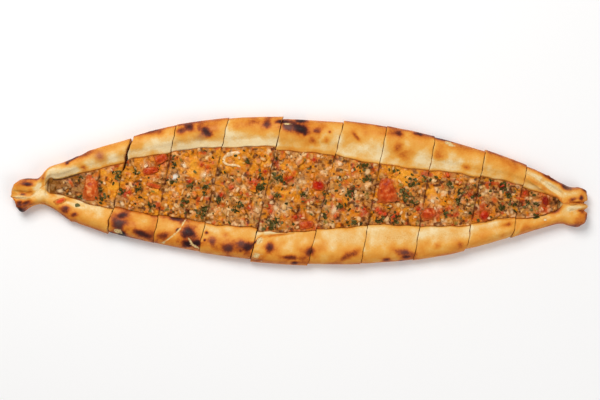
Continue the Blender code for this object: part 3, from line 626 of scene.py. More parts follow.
CHANNEL_PAINT = np.array([0.15, 0.0, 0.0, 0.55])
CUT_PAINT = np.array([0.62, 0.0, 0.0, 0.45])
crusts = []
for index in LENGTHS:
    upper, lower, x = crust_rows(index)
    normal = normals_of(upper)
    outward = np.where(np.sum(normal * (upper - upper.mean(axis=(0, 1))), axis=-1).mean() < 0, -1, 1)
    growth = crust_relief(upper)
    growth[:, 0] = growth[:, -1] = 0
    growth *= ease((upper[..., 2] - 1.0 * MM) / (4 * MM))
    shaped = upper + outward * normal * growth[..., None]
    shaped[..., 2] = np.maximum(shaped[..., 2], 0)
    shaped[..., 0] -= end_dents(shaped)
    piece = solid_between(
        f"crust_length_{index + 1:02d}",
        shaped,
        lower,
        crust_paint(index, shaped, x),
        np.broadcast_to(CHANNEL_PAINT, lower.shape[:2] + (4,)),
        CUT_PAINT,
        CAP_ROWS,
        0.5 * MM,
    )
    piece.data.materials.append(dough)
    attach(piece, "root")
    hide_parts(f"crust_{index + 1:02d}")
    crusts.append(piece)


# What lies in the filling, in millimetres as seen from above. Tomato pieces: x, y, length, width,
# turn (deg), how much narrower the far end is, redness (above 1 it darkens).
TOMATOES = {
    "tomato_slice_left": (-183.6, 5.6, 22.4, 12.4, 86, 0.10, 0.0),
    "tomato_strip_left": (-131.2, 18.0, 14.5, 6.2, 12, 0.2, 0.5),
    "tomato_chunk_upper": (-122.0, 28.5, 11.6, 7.6, 24, 0.1, 0.35),
    "tomato_cube_middle": (16.0, 7.6, 8.4, 10.8, 80, 0.1, 1.0),
    "tomato_slice_lower": (5.6, -27.0, 13.0, 7.0, 8, 0.1, 0.25),
    "tomato_wedge_large": (76.4, 0.9, 23.0, 16.4, 96, 0.42, 0.25),
    "tomato_chunk_right": (113.2, -18.4, 13.0, 9.6, 20, 0.1, 0.40),
    "tomato_cube_right": (162.0, -21.4, 9.0, 7.8, 60, 0.1, 0.9),
    "tomato_strip_right": (215.6, -7.6, 9.4, 6.4, 100, 0.1, 1.6),
}
# Bits of red pepper
RED_SPOTS = np.array([
    (-153.5, -3.6), (-150, -1), (-81, 20.6), (-86.5, 22.6), (-43.6, 8.6), (-30.6, 17.6), (-12, 13.6),
    (-8.6, 14.8), (-44, -14), (-27.6, -11), (-25.4, -14.8), (-3.8, -20), (1, -19.6), (31.2, -20.6),
    (74.4, -19.6), (82, -22), (129.8, 15.6), (177.8, 4.4), (195.4, -3.4), (197.8, -0.8), (149.4, -2),
    (131, -14.8), (123, -16.4), (104, -15.6), (56, -14.4), (-69, -2.8), (-60.4, 3.6), (-97, 8.4),
    (216, -15.8), (214, -14.4), (12.3, 30.4), (15, -31.4), (13, -32), (-38.6, 6.4), (-40.6, 8.6),
    (68, -16), (70.6, -18.6), (57.4, -17.6), (-5, -20.9),
])
# Curds of melted cheese: x, y, half length, half width
CURDS = np.array([
    (-110, 12.2, 4, 3), (-135.5, 22, 2.4, 1.6), (-101.6, 22, 2.8, 2), (30.4, -16, 3.2, 5.2),
    (-38, -16, 2.8, 2.4), (-21, -12.6, 2.8, 2.6), (0.6, 11, 2.8, 2.2), (34.6, 25, 3, 2.2),
    (-84, 14, 2.6, 2), (116.4, -7.4, 2.6, 2), (-14, -14.5, 3.2, 3), (38.5, 1.5, 2.2, 3),
])
# Wads of parsley: x, y, spread, leaves
WADS = np.array([
    (-85, -18.4, 5, 26), (-33.6, 4.2, 4.4, 20), (-55, -13.2, 4.6, 14), (-19.6, 13.8, 5.4, 20),
    (-24.2, -25.4, 5.4, 26), (-71.4, -5.6, 3.8, 10), (-83.4, 3.2, 4, 9), (2.6, -0.4, 2.6, 6),
    (-20.6, -1.4, 2.8, 8), (43, -1.6, 4.2, 16), (55.8, 23.2, 4, 12), (59.4, 12.6, 3, 8), (22.8, 2, 3, 8),
    (20.4, -8.6, 2.6, 6), (-32.4, -32.2, 3, 6), (-46.6, 26.8, 2.4, 5), (-34.8, 12.6, 2.6, 6),
    (71.2, -25, 4.2, 14), (46.6, -27.4, 4.4, 12), (21.6, -20.4, 2.8, 7), (99, 8.8, 5.6, 18),
    (91.2, -1.6, 4, 12), (99, -9.4, 4, 12), (93.8, -6.8, 3, 8), (111.4, 11.2, 3.2, 8),
    (83.6, -24.8, 4.8, 16), (82.2, 19, 2.6, 5), (131.2, 8.8, 2.4, 6), (141.6, 1, 3, 8), (139, -8, 3.2, 9),
    (157, 3.6, 2.6, 6), (154.6, -3, 3.2, 8), (128.6, -19, 2.4, 5), (179, 3.6, 5, 16), (183, -4.2, 3.4, 8),
    (177.8, -14.6, 2.6, 6), (188.2, -13.2, 2.6, 5), (199.8, -9.4, 3.4, 8), (208.8, -9.4, 2.4, 5),
    (207.6, -22, 2.6, 5), (204.8, 3.4, 2.4, 5), (-160.2, 13.8, 4.2, 12), (-145, 18.4, 2.6, 6),
    (-141.4, 2, 3, 7), (-111.8, 9.2, 3.4, 10), (-111.8, 25.4, 2.6, 6), (-194.4, -2.6, 2.8, 7),
    (-173.4, -3.6, 3.4, 9), (-176, 3, 2, 5), (-158, 17.4, 2.4, 5), (-156.8, -1.4, 2.4, 5),
    (-130.8, -12.2, 2.6, 6), (-96.6, 4.4, 3.2, 5), (-194.4, 14.4, 2.2, 4), (-103, -12, 3, 5),
    (166.4, 10.6, 2.2, 5), (35, 12, 3, 6), (36, -12, 3, 7), (150, -18, 3, 6),
])
# Painted shade: dark spots where the filling parted, and a row of them standing for the shadow beside the
# left tomato slice: x, y
PIT_SHADES = np.array([
    (-176.4, 14), (-176.2, 10.8), (-176.1, 7.6), (-176, 4.4), (-175.9, 1.2), (-175.6, -2), (-175.2, -5),
    (107.4, -19.8), (108.6, -16.8), (58.8, -27.8), (81, -26.4), (223.4, -6), (221.4, -9.4), (225, -9),
    (-71.6, -4.6), (-98, -19.6), (-40, -33.6), (-46, -33), (-52, -31.6), (33.6, -22.6), (62.4, 2),
])
# Areas richer in orange fat (+) or drier and browner (-): x, y, half length, half width (mm), turn, gain
RICH = np.array([
    (-164, 11, 11, 15, -12, 0.6), (-116, -8, 20, 12, 0, 0.2), (-92, -6, 20, 13, 0, 0.2),
    (-141, 2, 14, 20, 0, 0.2), (-92, 22, 22, 11, 6, 0.52), (-50, 24, 19, 10, 0, 0.5),
    (6, 12, 24, 24, -15, 0.34), (96, 14, 17, 12, -10, 0.72), (122, -2, 9, 12, 0, 0.32),
    (-36, -6, 14, 18, -14, 0.2), (-203, 2, 17, 10, 0, -0.42), (44, 0, 16, 24, 0, 0.02),
    (150, 0, 22, 14, 0, -0.22), (205, -6, 30, 12, -10, -0.34), (-80, -14, 20, 12, 0, -0.12),
    (-30, -28, 24, 8, 0, -0.14),
])

# The filling bed: lamb mince cooked in the oven with onion, pepper and a little melted cheese, so it
# sets as one moist lumpy layer, orange and smooth where fat gathers, browner where it dried.
BED_EDGE = 9.4 * MM
BED_MOUND = 2.5 * MM
BED_ENDS = (-220.5 * MM, 227.5 * MM)
BED_GRAIN = 0.5 * MM
# Morsels by kind: where each kind starts on a scale of 0..1, and its colour
MORSELS = ((0.16, "#d39850"), (0.30, "#b0743c"), (0.42, "#7c430e"), (0.54, "#de8810"), (0.70, "#ecbf82"),
           (0.78, "#c85a0c"), (0.86, "#e4ac74"), (0.94, "#80621c"))


def lean_at(x):
    """How much the sections lean at x: straight at the ends, in between as the knife cuts do."""
    return np.interp(x, [-0.24, *CUT_AT, 0.235], [0, *CUT_LEAN, 0])


def morsels(points, size, seed):
    """Uneven cells about `size` wide: how far inside its cell each point is, 0..1, and a chance 0..1."""
    warp = np.stack([swell(points, size, seed), swell(points, size, seed + 1)], axis=-1)
    flat = points[..., :2] / size + 0.55 * warp
    first = np.full(flat.shape[:-1], 9.0)
    second = first.copy()
    chance = np.zeros(flat.shape[:-1])
    for corner in itertools.product((-1, 0, 1), repeat=2):
        c = np.floor(flat).astype(np.int64) + np.array(corner)
        h = scrambled(c, seed)
        centre = c + 0.15 + 0.7 * np.stack([(h >> 4) & 0xFF, (h >> 13) & 0xFF], axis=-1) / 255
        away = np.linalg.norm(flat - centre, axis=-1)
        nearer = away < first
        second = np.where(nearer, first, np.minimum(second, away))
        chance = np.where(nearer, ((h >> 22) & 0xFF) / 255, chance)
        first = np.where(nearer, away, first)
    return ease((second - first) / 0.6), chance


def richness(points):
    """How much melted orange fat covers the mince, about 0..1: soft noise raised in the oval areas."""
    rich = 0.33 + 0.42 * swell(points, 8 * MM, 41) + 0.26 * swell(points, 3.2 * MM, 42)
    for row, strength in mark(points, RICH, 0.5):
        rich = rich + strength * row[5]
    return rich


def bed_level(x, y):
    """Top of the bed at station x: level under the lips, then a low mound with soft hills; fat evens it."""
    lip_low, lip_high = lip_edges(x)
    inner = ease((np.minimum(lip_high - y, y - lip_low) + 0.8 * MM) / (1.5 * MM))
    spot = np.stack(np.broadcast_arrays(x + lean_at(x) * y, y, 0 * y), axis=-1)
    inside, chance = morsels(spot, 4.4 * MM, 31)
    fat = ease(richness(spot) / 0.5 - 0.7)
    lumps = 1.1 * swell(spot, 3.9 * MM, 33) + 0.6 * swell(spot, 1.9 * MM, 34) + 0.9 * chance * inside
    lumps = lumps * (1 - 0.45 * fat) + 0.4 * fat + 0.8 * swell(spot, 9 * MM, 32) - 0.1
    return BED_EDGE + inner * (BED_MOUND + lumps * MM)


def blend(base, code, share):
    """Mixes one colour into an array of linear colours by a share 0..1 at each."""
    return base + np.clip(share, 0, 1)[..., None] * (np.array(srgb(code)) - base)


def stains_and_shades(points, places, reach):
    """Nearness 0..1 to any of the places (x, y in mm): the largest exp(-(distance / reach)^2)."""
    flat = points[..., :2] / MM
    near = np.zeros(points.shape[:-1])
    for x, y, *_ in places:
        near = np.maximum(near, np.exp(-((flat[..., 0] - x) ** 2 + (flat[..., 1] - y) ** 2) / reach**2))
    return near


def bed_colour(points):
    """Each morsel's colour, softened at its edge, then fat, onion, tomato juice and cheese on top, painted
    shade around the parsley wads and in the pits, and darker, then olive brown, towards the left end.
    """
    rich = richness(points)
    inside, chance = morsels(points, 4.4 * MM, 31)
    small, tint = morsels(points, 2.2 * MM, 35)
    colour = np.broadcast_to(np.array(srgb("#b87634")), points.shape[:-1] + (4,))
    kind = chance * 7.31 % 1
    for start, code in MORSELS:
        colour = blend(colour, code, (kind > start) * ease(1.5 * inside))
    colour = blend(colour, "#662c04", 0.6 * (tint < 0.25) * small)
    colour = blend(colour, "#e6ac66", 0.5 * (tint > 0.85) * small)
    colour = blend(colour, "#db7f08", 0.9 * ease((rich - 0.28) / 0.42))
    colour = blend(colour, "#f0a22a", 0.8 * ease((rich - 0.58) / 0.5))
    calm = 1 - 0.75 * ease((rich - 0.5) / 0.4)
    colour = blend(colour, "#f2c992", 0.8 * calm * ease((swell(points, 3.2 * MM, 44) - 0.20) / 0.7))
    colour = blend(colour, "#c23a08", 0.7 * calm * ease((swell(points, 4.4 * MM, 45) - 0.38) / 0.3))
    colour = blend(colour, "#521f04", 0.85 * calm * ease((swell(points, 2.6 * MM, 48) - 0.32) / 0.26))
    colour = blend(colour, "#c84008", 0.8 * stains_and_shades(points, RED_SPOTS, 3.2))
    colour = blend(colour, "#cc5a18", 0.7 * stains_and_shades(points, TOMATOES.values(), 7.0))
    colour = blend(colour, "#e8b478", 0.6 * stains_and_shades(points, CURDS, 3.8))
    # painted shade: dark brown around and under the parsley wads
    colour = blend(colour, "#442004", 0.7 * stains_and_shades(points, WADS, 3.4) * (0.5 + 0.5 * small))
    # painted shade in the pits and beside the left tomato slice
    colour = blend(colour, "#2c0e02", 0.85 * stains_and_shades(points, PIT_SHADES, 1.9))
    colour = blend(colour, "#4a1a02", 0.36 * ease((-181 - points[..., 0] / MM) / 9))
    return blend(colour, "#86500e", 0.75 * ease((-210 - points[..., 0] / MM) / 8))


def bed_rows(index):
    """Top rows and bottom rows of one length of the bed, from the upper wall to the lower wall."""
    x, lean = stations(index, BED_GRAIN, 0.06)
    keep = (x >= BED_ENDS[0]) & (x <= BED_ENDS[1])
    x, lean = x[keep], lean[keep]
    low, high = outer_edges(x)
    lip_low, lip_high = lip_edges(x)
    tuck = np.minimum(TUCK, 0.3 * np.minimum(high - lip_high, lip_low - low))
    tuck = tuck * ease((lip_high - lip_low) / (5 * MM)) - 0.2 * MM
    t = np.linspace(0, 1, 140)[None]
    y = (lip_high + tuck)[:, None] + t * (lip_low - lip_high - 2 * tuck)[:, None]
    z = np.minimum(bed_level(x[:, None], y), 15 * MM)
    sides = [np.full((len(x), 1), FLOOR + 0.2 * MM), np.full((len(x), 1), 7 * MM)]
    top_y = np.concatenate([y[:, :1], y[:, :1], y, y[:, -1:], y[:, -1:]], axis=1)
    top_z = np.concatenate([sides[0], sides[1], z, sides[1], sides[0]], axis=1)
    t = np.linspace(0, 1, top_y.shape[1])[None]
    low_y = y[:, :1] + t * (y[:, -1:] - y[:, :1])
    return put(index, x, lean, top_y, top_z), put(index, x, lean, low_y, 0 * low_y + FLOOR + 0.2 * MM)


# Baked mince: wet with fat, so it shines softly at a roughness near 0.35; its colours come with each
# point, and a fine noise breaks them up.
mince, tree, shader, paint = surface("baked_mince", 0.36, 1.46, 0.14)
speck = noise(tree, 640.0, 3.0, Roughness=0.6)
tree.links.new(toned(tree, paint, ranged(tree, speck, 0.80, 1.20)), shader.inputs["Base Color"])
roughened(tree, shader, speck, 0.5 * MM, 0.6)

for index in LENGTHS:
    upper, lower = bed_rows(index)
    flat = upper - np.array([0, NUDGE[index], 0])
    # Painted shade: low parts of the bed, in its hollows and where it runs down under the lips, are
    # darkened towards near black; right at the lips it is eased back to a mid brown.
    above_hollow_shade = ease((upper[..., 2] / MM - 9.8) / 2.0)
    values = blend(bed_colour(flat), "#3c1000", 0.9 * (1 - above_hollow_shade))
    lip_low, lip_high = lip_edges(flat[..., 0] - lean_at(flat[..., 0]) * flat[..., 1])
    inside = np.minimum(lip_high - flat[..., 1], flat[..., 1] - lip_low) / MM
    values = blend(values, "#a85a18", 0.9 * (1 - ease((inside + 0.6) / 2.0)))
    # Painted shadow: a dark band on the bed under the upper lip at the left end.
    lip_shadow_left = (1 - ease((lip_high - flat[..., 1]) / MM / 1.8 - 0.1)) * ease((-191 - flat[..., 0] / MM) / 5)
    values = blend(values, "#2e1204", 0.85 * lip_shadow_left)
    # Painted shade: a dark, uneven band along each knife cut through the bed.
    off_cut = np.min(np.abs(upper[..., :1] - CUT_AT - CUT_LEAN * upper[..., 1:2]), axis=-1)
    cut_shade = np.exp(-((off_cut / (0.95 * MM)) ** 2)) * ease(0.7 + 1.4 * swell(upper, 5 * MM, 49))
    values = blend(values, "#571c06", 0.85 * cut_shade)
    plain = np.broadcast_to(np.array(srgb("#a8672f")), lower.shape[:2] + (4,))
    cut = srgb("#b0682c")
    piece = solid_between(f"mince_bed_{index + 1:02d}", upper, lower, values, plain, cut, 5, 0.2 * MM)
    piece.data.materials.append(mince)
    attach(piece, "root")
    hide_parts(f"filling_{index + 1:02d}")


# Tomato pieces: cut by hand, baked soft and a little shrivelled; wet, orange-red flesh with paler
# streaks. Each lies more than half sunk in the bed, and its edge melts into it.
def block(n):
    """A cube's surface in -1..1 as n x n quads a side: its shared points and its faces."""
    g = np.linspace(-1, 1, n + 1)
    u, v = np.meshgrid(g, g, indexing="ij")
    w = np.ones_like(u)
    sheets = [(u, v, w), (v, u, -w), (w, u, v), (-w, v, u), (v, w, u), (u, -w, v)]
    points = np.concatenate([np.stack(s, axis=-1).reshape(-1, 3) for s in sheets])
    unique, inverse = np.unique(points.round(6), axis=0, return_inverse=True)
    ids = inverse.reshape(6, n + 1, n + 1)
    faces = np.stack([ids[:, :-1, :-1], ids[:, 1:, :-1], ids[:, 1:, 1:], ids[:, :-1, 1:]], axis=-1)
    return unique, faces.reshape(-1, 4)


def rounded(points, ball):
    """Cube points drawn towards the unit sphere: (1 - ball) p + ball p/|p|."""
    return (1 - ball) * points + ball * points / np.linalg.norm(points, axis=-1, keepdims=True)


def top_at(x, y):
    """Top of the bed at a place (x, y), whichever length it belongs to."""
    return bed_level(x - lean_at(x) * y, y)


tomato, tree, shader, paint = surface("baked_tomato_flesh", 0.32, 1.4, 0.18)
parts = add(tree, "ShaderNodeSeparateColor", {0: paint.outputs["Color"]}).outputs
veins = noise(tree, 260.0, 3.0, Distortion=0.3)
FLESH = [(0.36, "#a83804"), (0.48, "#c84e12"), (0.58, "#d66528"), (0.70, "#e89a58")]
RIPE = [(0.3, "#8e0c00"), (0.5, "#b01a00"), (0.72, "#cf3a08")]
colour = mixed(tree, parts[0], ramped(tree, veins, FLESH), ramped(tree, veins, RIPE))
colour = mixed(tree, parts[2], colour, srgb("#520c02"))
colour = mixed(tree, parts[1], colour, srgb("#b4541a"))
tree.links.new(colour, shader.inputs["Base Color"])
roughened(tree, shader, veins, 0.6 * MM, 0.7)

cube_points, cube_faces = block(20)
for seed, (name, (x, y, length, width, turn, narrow, redness)) in enumerate(TOMATOES.items()):
    p = rounded(cube_points, 0.45)
    p = p * (1 + 0.16 * swell(p, 0.8, 50 + seed)[:, None] + 0.09 * swell(p, 0.3, 60 + seed)[:, None])
    p[:, 1] *= 1 - narrow * p[:, 0]
    c, s = np.cos(np.radians(turn)), np.sin(np.radians(turn))
    dx, dy = p[:, 0] * length / 2 * MM, p[:, 1] * width / 2 * MM
    index = int(np.sum(x * MM > CUT_AT + CUT_LEAN * y * MM))
    away = np.hypot(p[:, 0], p[:, 1])
    here = np.stack([x * MM + dx * c - dy * s, y * MM + dx * s + dy * c], axis=-1)
    seat = BED_EDGE + BED_MOUND + 0.3 * (top_at(here[:, 0], here[:, 1]) - BED_EDGE - BED_MOUND)
    z = seat + 0.25 * MM + p[:, 2] * (1.9 - 0.7 * away**2) * MM + 0.5 * MM * swell(p, 0.35, 70 + seed)
    where = np.stack([here[:, 0], here[:, 1] + NUDGE[index], z], axis=-1)
    edge = ease((away - 0.62) / 0.45) * 0.85
    values = np.stack([0 * z + min(redness, 1), edge, 0 * z + max(redness - 1, 0), 0 * z + 1], axis=-1)
    piece = mesh_piece(f"{name}_piece", where, cube_faces, values)
    piece.data.materials.append(tomato)
    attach(piece, "root")
    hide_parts(name)


# The small stuff in the filling: crumbs of mince, onion, curds of melted cheese, diced red and green
# pepper, bits of tomato and chopped parsley, sown over the bed clear of the cuts and the lips.
def sow(rng, pitch, margin):
    """Jittered hexagonal grid of places (x, y) on the bed, clear of lips, cuts and tomato pieces."""
    xs = np.arange(BED_ENDS[0], BED_ENDS[1], pitch)
    ys = np.arange(-52 * MM, 52 * MM, pitch * 0.87)
    x, y = np.meshgrid(xs, ys)
    x = x + (np.arange(len(ys)) % 2)[:, None] * pitch / 2
    x = (x + rng.uniform(-0.36, 0.36, x.shape) * pitch).ravel()
    y = (y + rng.uniform(-0.36, 0.36, y.shape).T.reshape(y.shape) * pitch).ravel()
    return clear(x, y, margin)


def clear(x, y, margin):
    """Keeps the places that lie margin or more inside the lips, off the cuts and off the tomatoes."""
    lip_low, lip_high = lip_edges(x - lean_at(x) * y)
    keep = (y - lip_low > margin) & (lip_high - y > margin)
    keep &= np.min(np.abs(x[:, None] - CUT_AT - CUT_LEAN * y[:, None]), axis=1) > margin
    keep &= (x > BED_ENDS[0] + margin) & (x < BED_ENDS[1] - margin)
    for cx, cy, length, width, turn, _, _ in TOMATOES.values():
        c, s = np.cos(np.radians(turn)), np.sin(np.radians(turn))
        dx, dy = x / MM - cx, y / MM - cy
        away = np.hypot((dx * c + dy * s) / (length / 2 + 0.6), (dy * c - dx * s) / (width / 2 + 0.6))
        keep &= away > 1
    return x[keep], y[keep]


def strew(name, x, y, sizes, rise, rng, ball, rugged, paint, material, tilt, bend, melt, cells=3):
    """Copies of a rounded block p(1 + rugged noise), scaled, tilted and turned, melting into the bed."""
    base, faces = block(cells)
    count = len(x)
    p = rounded(base, ball)[None] * np.ones((count, 1, 1))
    p = p * (1 + rugged * swell(p + 9.7 * np.arange(count)[:, None, None], 0.8, 81))[..., None]
    edge = ease((np.hypot(p[..., 0], p[..., 1]) - 0.3) / 0.6) * melt
    p[..., 2] += bend * (np.sin(2.3 * p[..., 0] + rng.uniform(0, 6, (count, 1))) * (0.6 + 0.4 * p[..., 1]))
    p = p * sizes[:, None]
    spin = rng.uniform(0, 2 * np.pi, count)
    lean = rng.normal(0, tilt / 10, count)
    way = rng.uniform(0, 6.3, count)
    axis = np.stack([np.cos(way), np.sin(way), 0 * way], axis=-1)[:, None]
    p = p * np.cos(lean)[:, None, None] + np.cross(axis * np.ones_like(p), p) * np.sin(lean)[:, None, None]
    c, s = np.cos(spin)[:, None], np.sin(spin)[:, None]
    px, py = p[..., 0] * c - p[..., 1] * s, p[..., 0] * s + p[..., 1] * c
    index = np.sum(x[:, None] > CUT_AT + CUT_LEAN * y[:, None], axis=1)
    seat = top_at(x, y) + rise
    where = np.stack([x[:, None] + px, y[:, None] + py, seat[:, None] + p[..., 2]], axis=-1)
    around = bed_colour(where) if melt else 1.0
    values = paint[:, None] + edge[..., None] * (around - paint[:, None])
    where[..., 1] += NUDGE[index][:, None]
    ids = (faces[None] + (np.arange(count) * len(base))[:, None, None]).reshape(-1, 4)
    piece = mesh_piece(name, where.reshape(-1, 3), ids, values.reshape(-1, 4))
    piece.data.materials.append(material)
    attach(piece, "root")
    return piece


def spots(x, y):
    """Places (x, y) as points at the bed's height, for patterns."""
    return np.stack([x, y, 0 * x], axis=-1)


def pick(rng, count, codes):
    """A random choice of colours for count copies."""
    return np.array([srgb(code) for code in codes])[rng.integers(0, len(codes), count)]


# Crumbs of mince that stand out of the bed
rng = np.random.default_rng(11)
x, y = sow(rng, 6.6 * MM, 1.2 * MM)
keep = richness(spots(x, y)) < rng.uniform(0.2, 0.8, len(x))
x, y = x[keep], y[keep]
size = rng.uniform(0.9, 2.3, (len(x), 3)) * np.array([1.25, 0.9, 0.5]) * MM
values = bed_colour(spots(x, y)) * rng.uniform(0.8, 1.25, (len(x), 1))
values = blend(values, "#eebf80", np.clip(rng.normal(-0.3, 0.35, len(x)), 0, 0.5))
rise = rng.uniform(-0.9, 0.0, len(x)) * MM
strew("mince_crumbs", x, y, size, rise, rng, 0.8, 0.4, values, mince, 3, 0, 1)

# Onion: finely chopped, gone soft and half clear, tinted by the fat.
onion, tree, shader, paint = surface("softened_onion", 0.3, 1.42, 0.2)
tree.links.new(paint.outputs["Color"], shader.inputs["Base Color"])
x, y = sow(rng, 12 * MM, 1.8 * MM)
size = rng.uniform(1.0, 2.8, (len(x), 3)) * np.array([1.3, 0.9, 0.4]) * MM
values = pick(rng, len(x), ["#d4964e", "#deaa64", "#e6b87c", "#c8863e", "#eac492"])
strew("onion_bits", x, y, size, 0.1 * MM, rng, 0.6, 0.3, values, onion, 4, 0, 1)

# Melted cheese: a few milky curds, sunk in the fat.
curd, tree, shader, paint = surface("melted_white_cheese", 0.33)
milky = ranged(tree, noise(tree, 500.0, 2.0), 0.78, 1.12)
tree.links.new(toned(tree, paint, milky), shader.inputs["Base Color"])
x, y = CURDS[:, 0] * MM, CURDS[:, 1] * MM
size = np.stack([CURDS[:, 2], CURDS[:, 3], 0.9 + 0 * x], axis=-1) * MM
values = pick(rng, len(x), ["#e8c090", "#eecfa4", "#e2b47c"])
values[0] = srgb("#f8eedc")
strew("cheese_curds", x, y, size, 0, rng, 0.75, 0.5, values, curd, 1, 0.1, 1, 7)

# An open loop of melted cheese: path points x, y and thickness, drawn as a flattened tube.
LOOP = np.array([
    (-52.4, 34.3, 0.4), (-56.2, 34.3, 1.8), (-60.6, 33.6, 2), (-64.6, 32, 1.6), (-66.8, 29.2, 1.4),
    (-66.6, 26.2, 1.3), (-63.6, 24.2, 1.2), (-59.6, 23.6, 1.3), (-55.8, 23.4, 1.1), (-52, 21.6, 0.3),
]) * MM
path = through(LOOP.T, (10,) * (len(LOOP) - 1)).T
along = np.gradient(path[:, :2], axis=0)
across = np.stack([-along[:, 1], along[:, 0]], axis=1) / np.linalg.norm(along, axis=1)[:, None]
LOOP_SIDES = 16
turn = np.linspace(0, 2 * np.pi, LOOP_SIDES, endpoint=False)
thick = path[:, 2:] * (1 + 0.35 * swell(path, 2.2 * MM, 91)[:, None])
side = np.cos(turn)[None] * thick * (1 + 0.2 * swell(path, 1.1 * MM, 92)[:, None])
rise = np.sin(turn)[None] * thick * 0.5 + 0.25 * MM + top_at(path[:, 0], path[:, 1])[:, None]
where = np.concatenate([path[:, None, :2] + across[:, None] * side[..., None], rise[..., None]], axis=2)
ids = np.arange(where.shape[0] * LOOP_SIDES).reshape(-1, LOOP_SIDES)
ids_next = np.roll(ids, -1, axis=1)
quads = np.stack([ids[:-1], ids_next[:-1], ids_next[1:], ids[1:]], axis=-1).reshape(-1, 4)
where[0] = where[0].mean(axis=0)
where[-1] = where[-1].mean(axis=0)
around = bed_colour(where)
streak = ease(np.sin(turn)[None] - 0.1 + 0.6 * swell(where, 2.4 * MM, 93))
milk = blend(around, "#f0cf9c", 0.8 * streak)
piece = mesh_piece("cheese_loop", where.reshape(-1, 3), quads, milk.reshape(-1, 4), weld=True)
piece.data.materials.append(curd)
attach(piece, "root")

# Pepper: small dice of red sweet pepper and of long green pepper, shiny skin side up.
pepper, tree, shader, paint = surface("cooked_pepper_skin", 0.32, 1.45, 0.18)
blotch = ranged(tree, noise(tree, 500.0, 2.0), 0.72, 1.25)
tree.links.new(toned(tree, paint, blotch), shader.inputs["Base Color"])
x, y = clear(RED_SPOTS[:, 0] * MM, RED_SPOTS[:, 1] * MM, 1.6 * MM)
size = rng.uniform(1.2, 2.6, (len(x), 3)) * np.array([1.2, 0.9, 0.5]) * MM
values = pick(rng, len(x), ["#b81c04", "#cc3408", "#a41203", "#cf4a10"])
strew("red_pepper_dice", x, y, size, 0.2 * MM, rng, 0.5, 0.4, values, pepper, 3, 0, 0.9, 4)
x, y = sow(rng, 19 * MM, 2.4 * MM)
size = rng.uniform(1.5, 4.0, (len(x), 3)) * np.array([1.2, 0.9, 0.4]) * MM
values = pick(rng, len(x), ["#cb5412", "#d97024", "#d05c1a", "#df8638", "#dc8a52"])
strew("tomato_bits", x, y, size, 0, rng, 0.6, 0.4, values, pepper, 3, 0, 1, 4)
x, y = sow(rng, 34 * MM, 2.4 * MM)
size = rng.uniform(1.2, 2.6, (len(x), 3)) * np.array([1.2, 0.8, 0.4]) * MM
values = pick(rng, len(x), ["#7f6c24", "#75661f", "#8e7a34", "#7a6c2c"])
strew("green_pepper_dice", x, y, size, 0.2 * MM, rng, 0.45, 0.3, values, pepper, 3, 0, 0.7, 4)

# Parsley: leaves chopped coarsely, dried dark green by the oven, some in small wads.
parsley, tree, shader, paint = surface("oven_dried_parsley", 0.5, specular=0.1)
tree.links.new(paint.outputs["Color"], shader.inputs["Base Color"])
counts = (WADS[:, 3] * 1.3).astype(int)
a, b = np.repeat(WADS[:, 0] * MM, counts), np.repeat(WADS[:, 1] * MM, counts)
a = a + rng.normal(0, 1, counts.sum()) * np.repeat(WADS[:, 2] * MM, counts) * 0.6
b = b + rng.normal(0, 1, counts.sum()) * np.repeat(WADS[:, 2] * MM, counts) * 0.6
x, y = sow(rng, 14 * MM, 1.8 * MM)
x, y = clear(np.append(a, x), np.append(b, y), 1.5 * MM)
size = rng.uniform(0.6, 1.6, (len(x), 3)) * np.array([1.15, 0.75, 0.14]) * MM
size[:, 2] = np.clip(size[:, 2], 0.14 * MM, 0.3 * MM)
values = pick(rng, len(x), ["#40380c", "#4c4212", "#35300a", "#584e1e", "#443e12", "#625828", "#6e6436"])
rise = rng.uniform(0.2, 1.0, len(x)) * MM
strew("parsley_flakes", x, y, size, rise, rng, 0.6, 0.35, values, parsley, 4, 2.0, 0)

# Stray bits: a shred of tomato and a leaf of parsley stuck to the lower flap at the left, a leaf and a
# crumb of cheese on it at the right, and one slim strip of tomato in the filling.
# name, x, y, half length, half width, half thickness (mm), turn, colour, edge colour, material, slot
STRAYS = (
    ("stray_tomato_shred", -210.4, -7.9, 5.4, 2.3, 0.6, 24, "#d8481a", "#d9802c", pepper, "tomato"),
    ("stray_parsley_left", -195.6, -11.6, 2.2, 1.5, 0.5, 10, "#5b5a30", "#6d602c", parsley, "filling"),
    ("stray_parsley_right", 207.6, -22.2, 3.2, 1.3, 0.5, 14, "#474a22", "#5d5320", parsley, "filling"),
    ("stray_cheese_crumb", 215.4, -24.4, 1.3, 1.1, 0.6, 0, "#e6cfa0", "#dcb67c", curd, "filling"),
    ("stray_tomato_strip", -128.4, 5.4, 6.6, 2.0, 1.3, -15, "#cc4c18", "#c4601e", pepper, "tomato"),
)
bpy.context.view_layer.update()
flake_points, flake_faces = block(8)
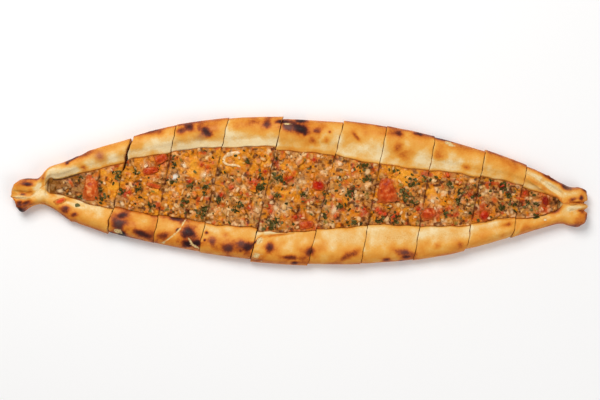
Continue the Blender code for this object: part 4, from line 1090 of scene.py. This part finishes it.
for seed, (name, x, y, long, wide, thick, turn, code, rim_code, material, slot) in enumerate(STRAYS):
    p = rounded(flake_points, 0.7)
    p = p * (1 + 0.30 * swell(p, 0.6, 120 + seed)[:, None])
    c, s = np.cos(np.radians(turn)), np.sin(np.radians(turn))
    px = (x + p[:, 0] * long * c - p[:, 1] * wide * s) * MM
    py = (y + p[:, 0] * long * s + p[:, 1] * wide * c) * MM
    seat = top_at(px, py)
    for crust in crusts:
        for i, (a, b) in enumerate(zip(px, py)):
            hit, spot, _, _ = crust.ray_cast(Vector((a, b, 0.05)), Vector((0, 0, -1)))
            seat[i] = spot.z if hit and spot.z > 10 * MM else seat[i]
    where = np.stack([px, py, seat + (0.1 + p[:, 2] * thick) * MM], axis=-1)
    share = ease((np.hypot(p[:, 0], p[:, 1]) - 0.45) / 0.5)
    colours = blend(np.broadcast_to(np.array(srgb(code)), (len(p), 4)), rim_code, share)
    piece = mesh_piece(name, where, flake_faces, colours)
    piece.data.materials.append(material)
    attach(piece, "root")


# Studio: a plain white table, one large soft lamp overhead, a weaker one from the far left, and a
# camera that looks straight down.
floor_mesh = bpy.data.meshes.new("table_top")
floor_mesh.from_pydata([(-3, -3, 0), (3, -3, 0), (3, 3, 0), (-3, 3, 0)], [], [(0, 1, 2, 3)])
floor = bpy.data.objects.new("table_top", floor_mesh)
floor.location.z = -0.1 * MM
white = bpy.data.materials.new("matt_white_board")
white.use_nodes = True
white.node_tree.nodes["Principled BSDF"].inputs["Base Color"].default_value = srgb("#fbfaf9")
white.node_tree.nodes["Principled BSDF"].inputs["Roughness"].default_value = 0.8
floor_mesh.materials.append(white)
bpy.context.scene.collection.objects.link(floor)

for name, spot, size, power in (
    ("lamp_over", (-0.45, 0.85, 1.3), 0.8, 19.0),
    ("lamp_side", (0.9, -0.7, 1.1), 0.9, 6.0),
):
    lamp = bpy.data.lights.new(name, "AREA")
    lamp.size = size
    lamp.energy = power
    holder = bpy.data.objects.new(name, lamp)
    holder.location = spot
    holder.rotation_euler = (-Vector(spot)).to_track_quat("-Z", "Y").to_euler()
    bpy.context.scene.collection.objects.link(holder)
world = bpy.data.worlds.new("room")
world.use_nodes = True
world.node_tree.nodes["Background"].inputs["Color"].default_value = (1.0, 1.0, 1.0, 1.0)
world.node_tree.nodes["Background"].inputs["Strength"].default_value = 0.34
bpy.context.scene.world = world
bpy.context.scene.view_settings.view_transform = "Standard"

lens = bpy.data.cameras.new("camera")
lens.lens = 80
lens.sensor_width = 36
camera = bpy.data.objects.new("camera", lens)
camera.location = (0.0, -0.0071, 1.185)
bpy.context.scene.collection.objects.link(camera)
bpy.context.scene.camera = camera
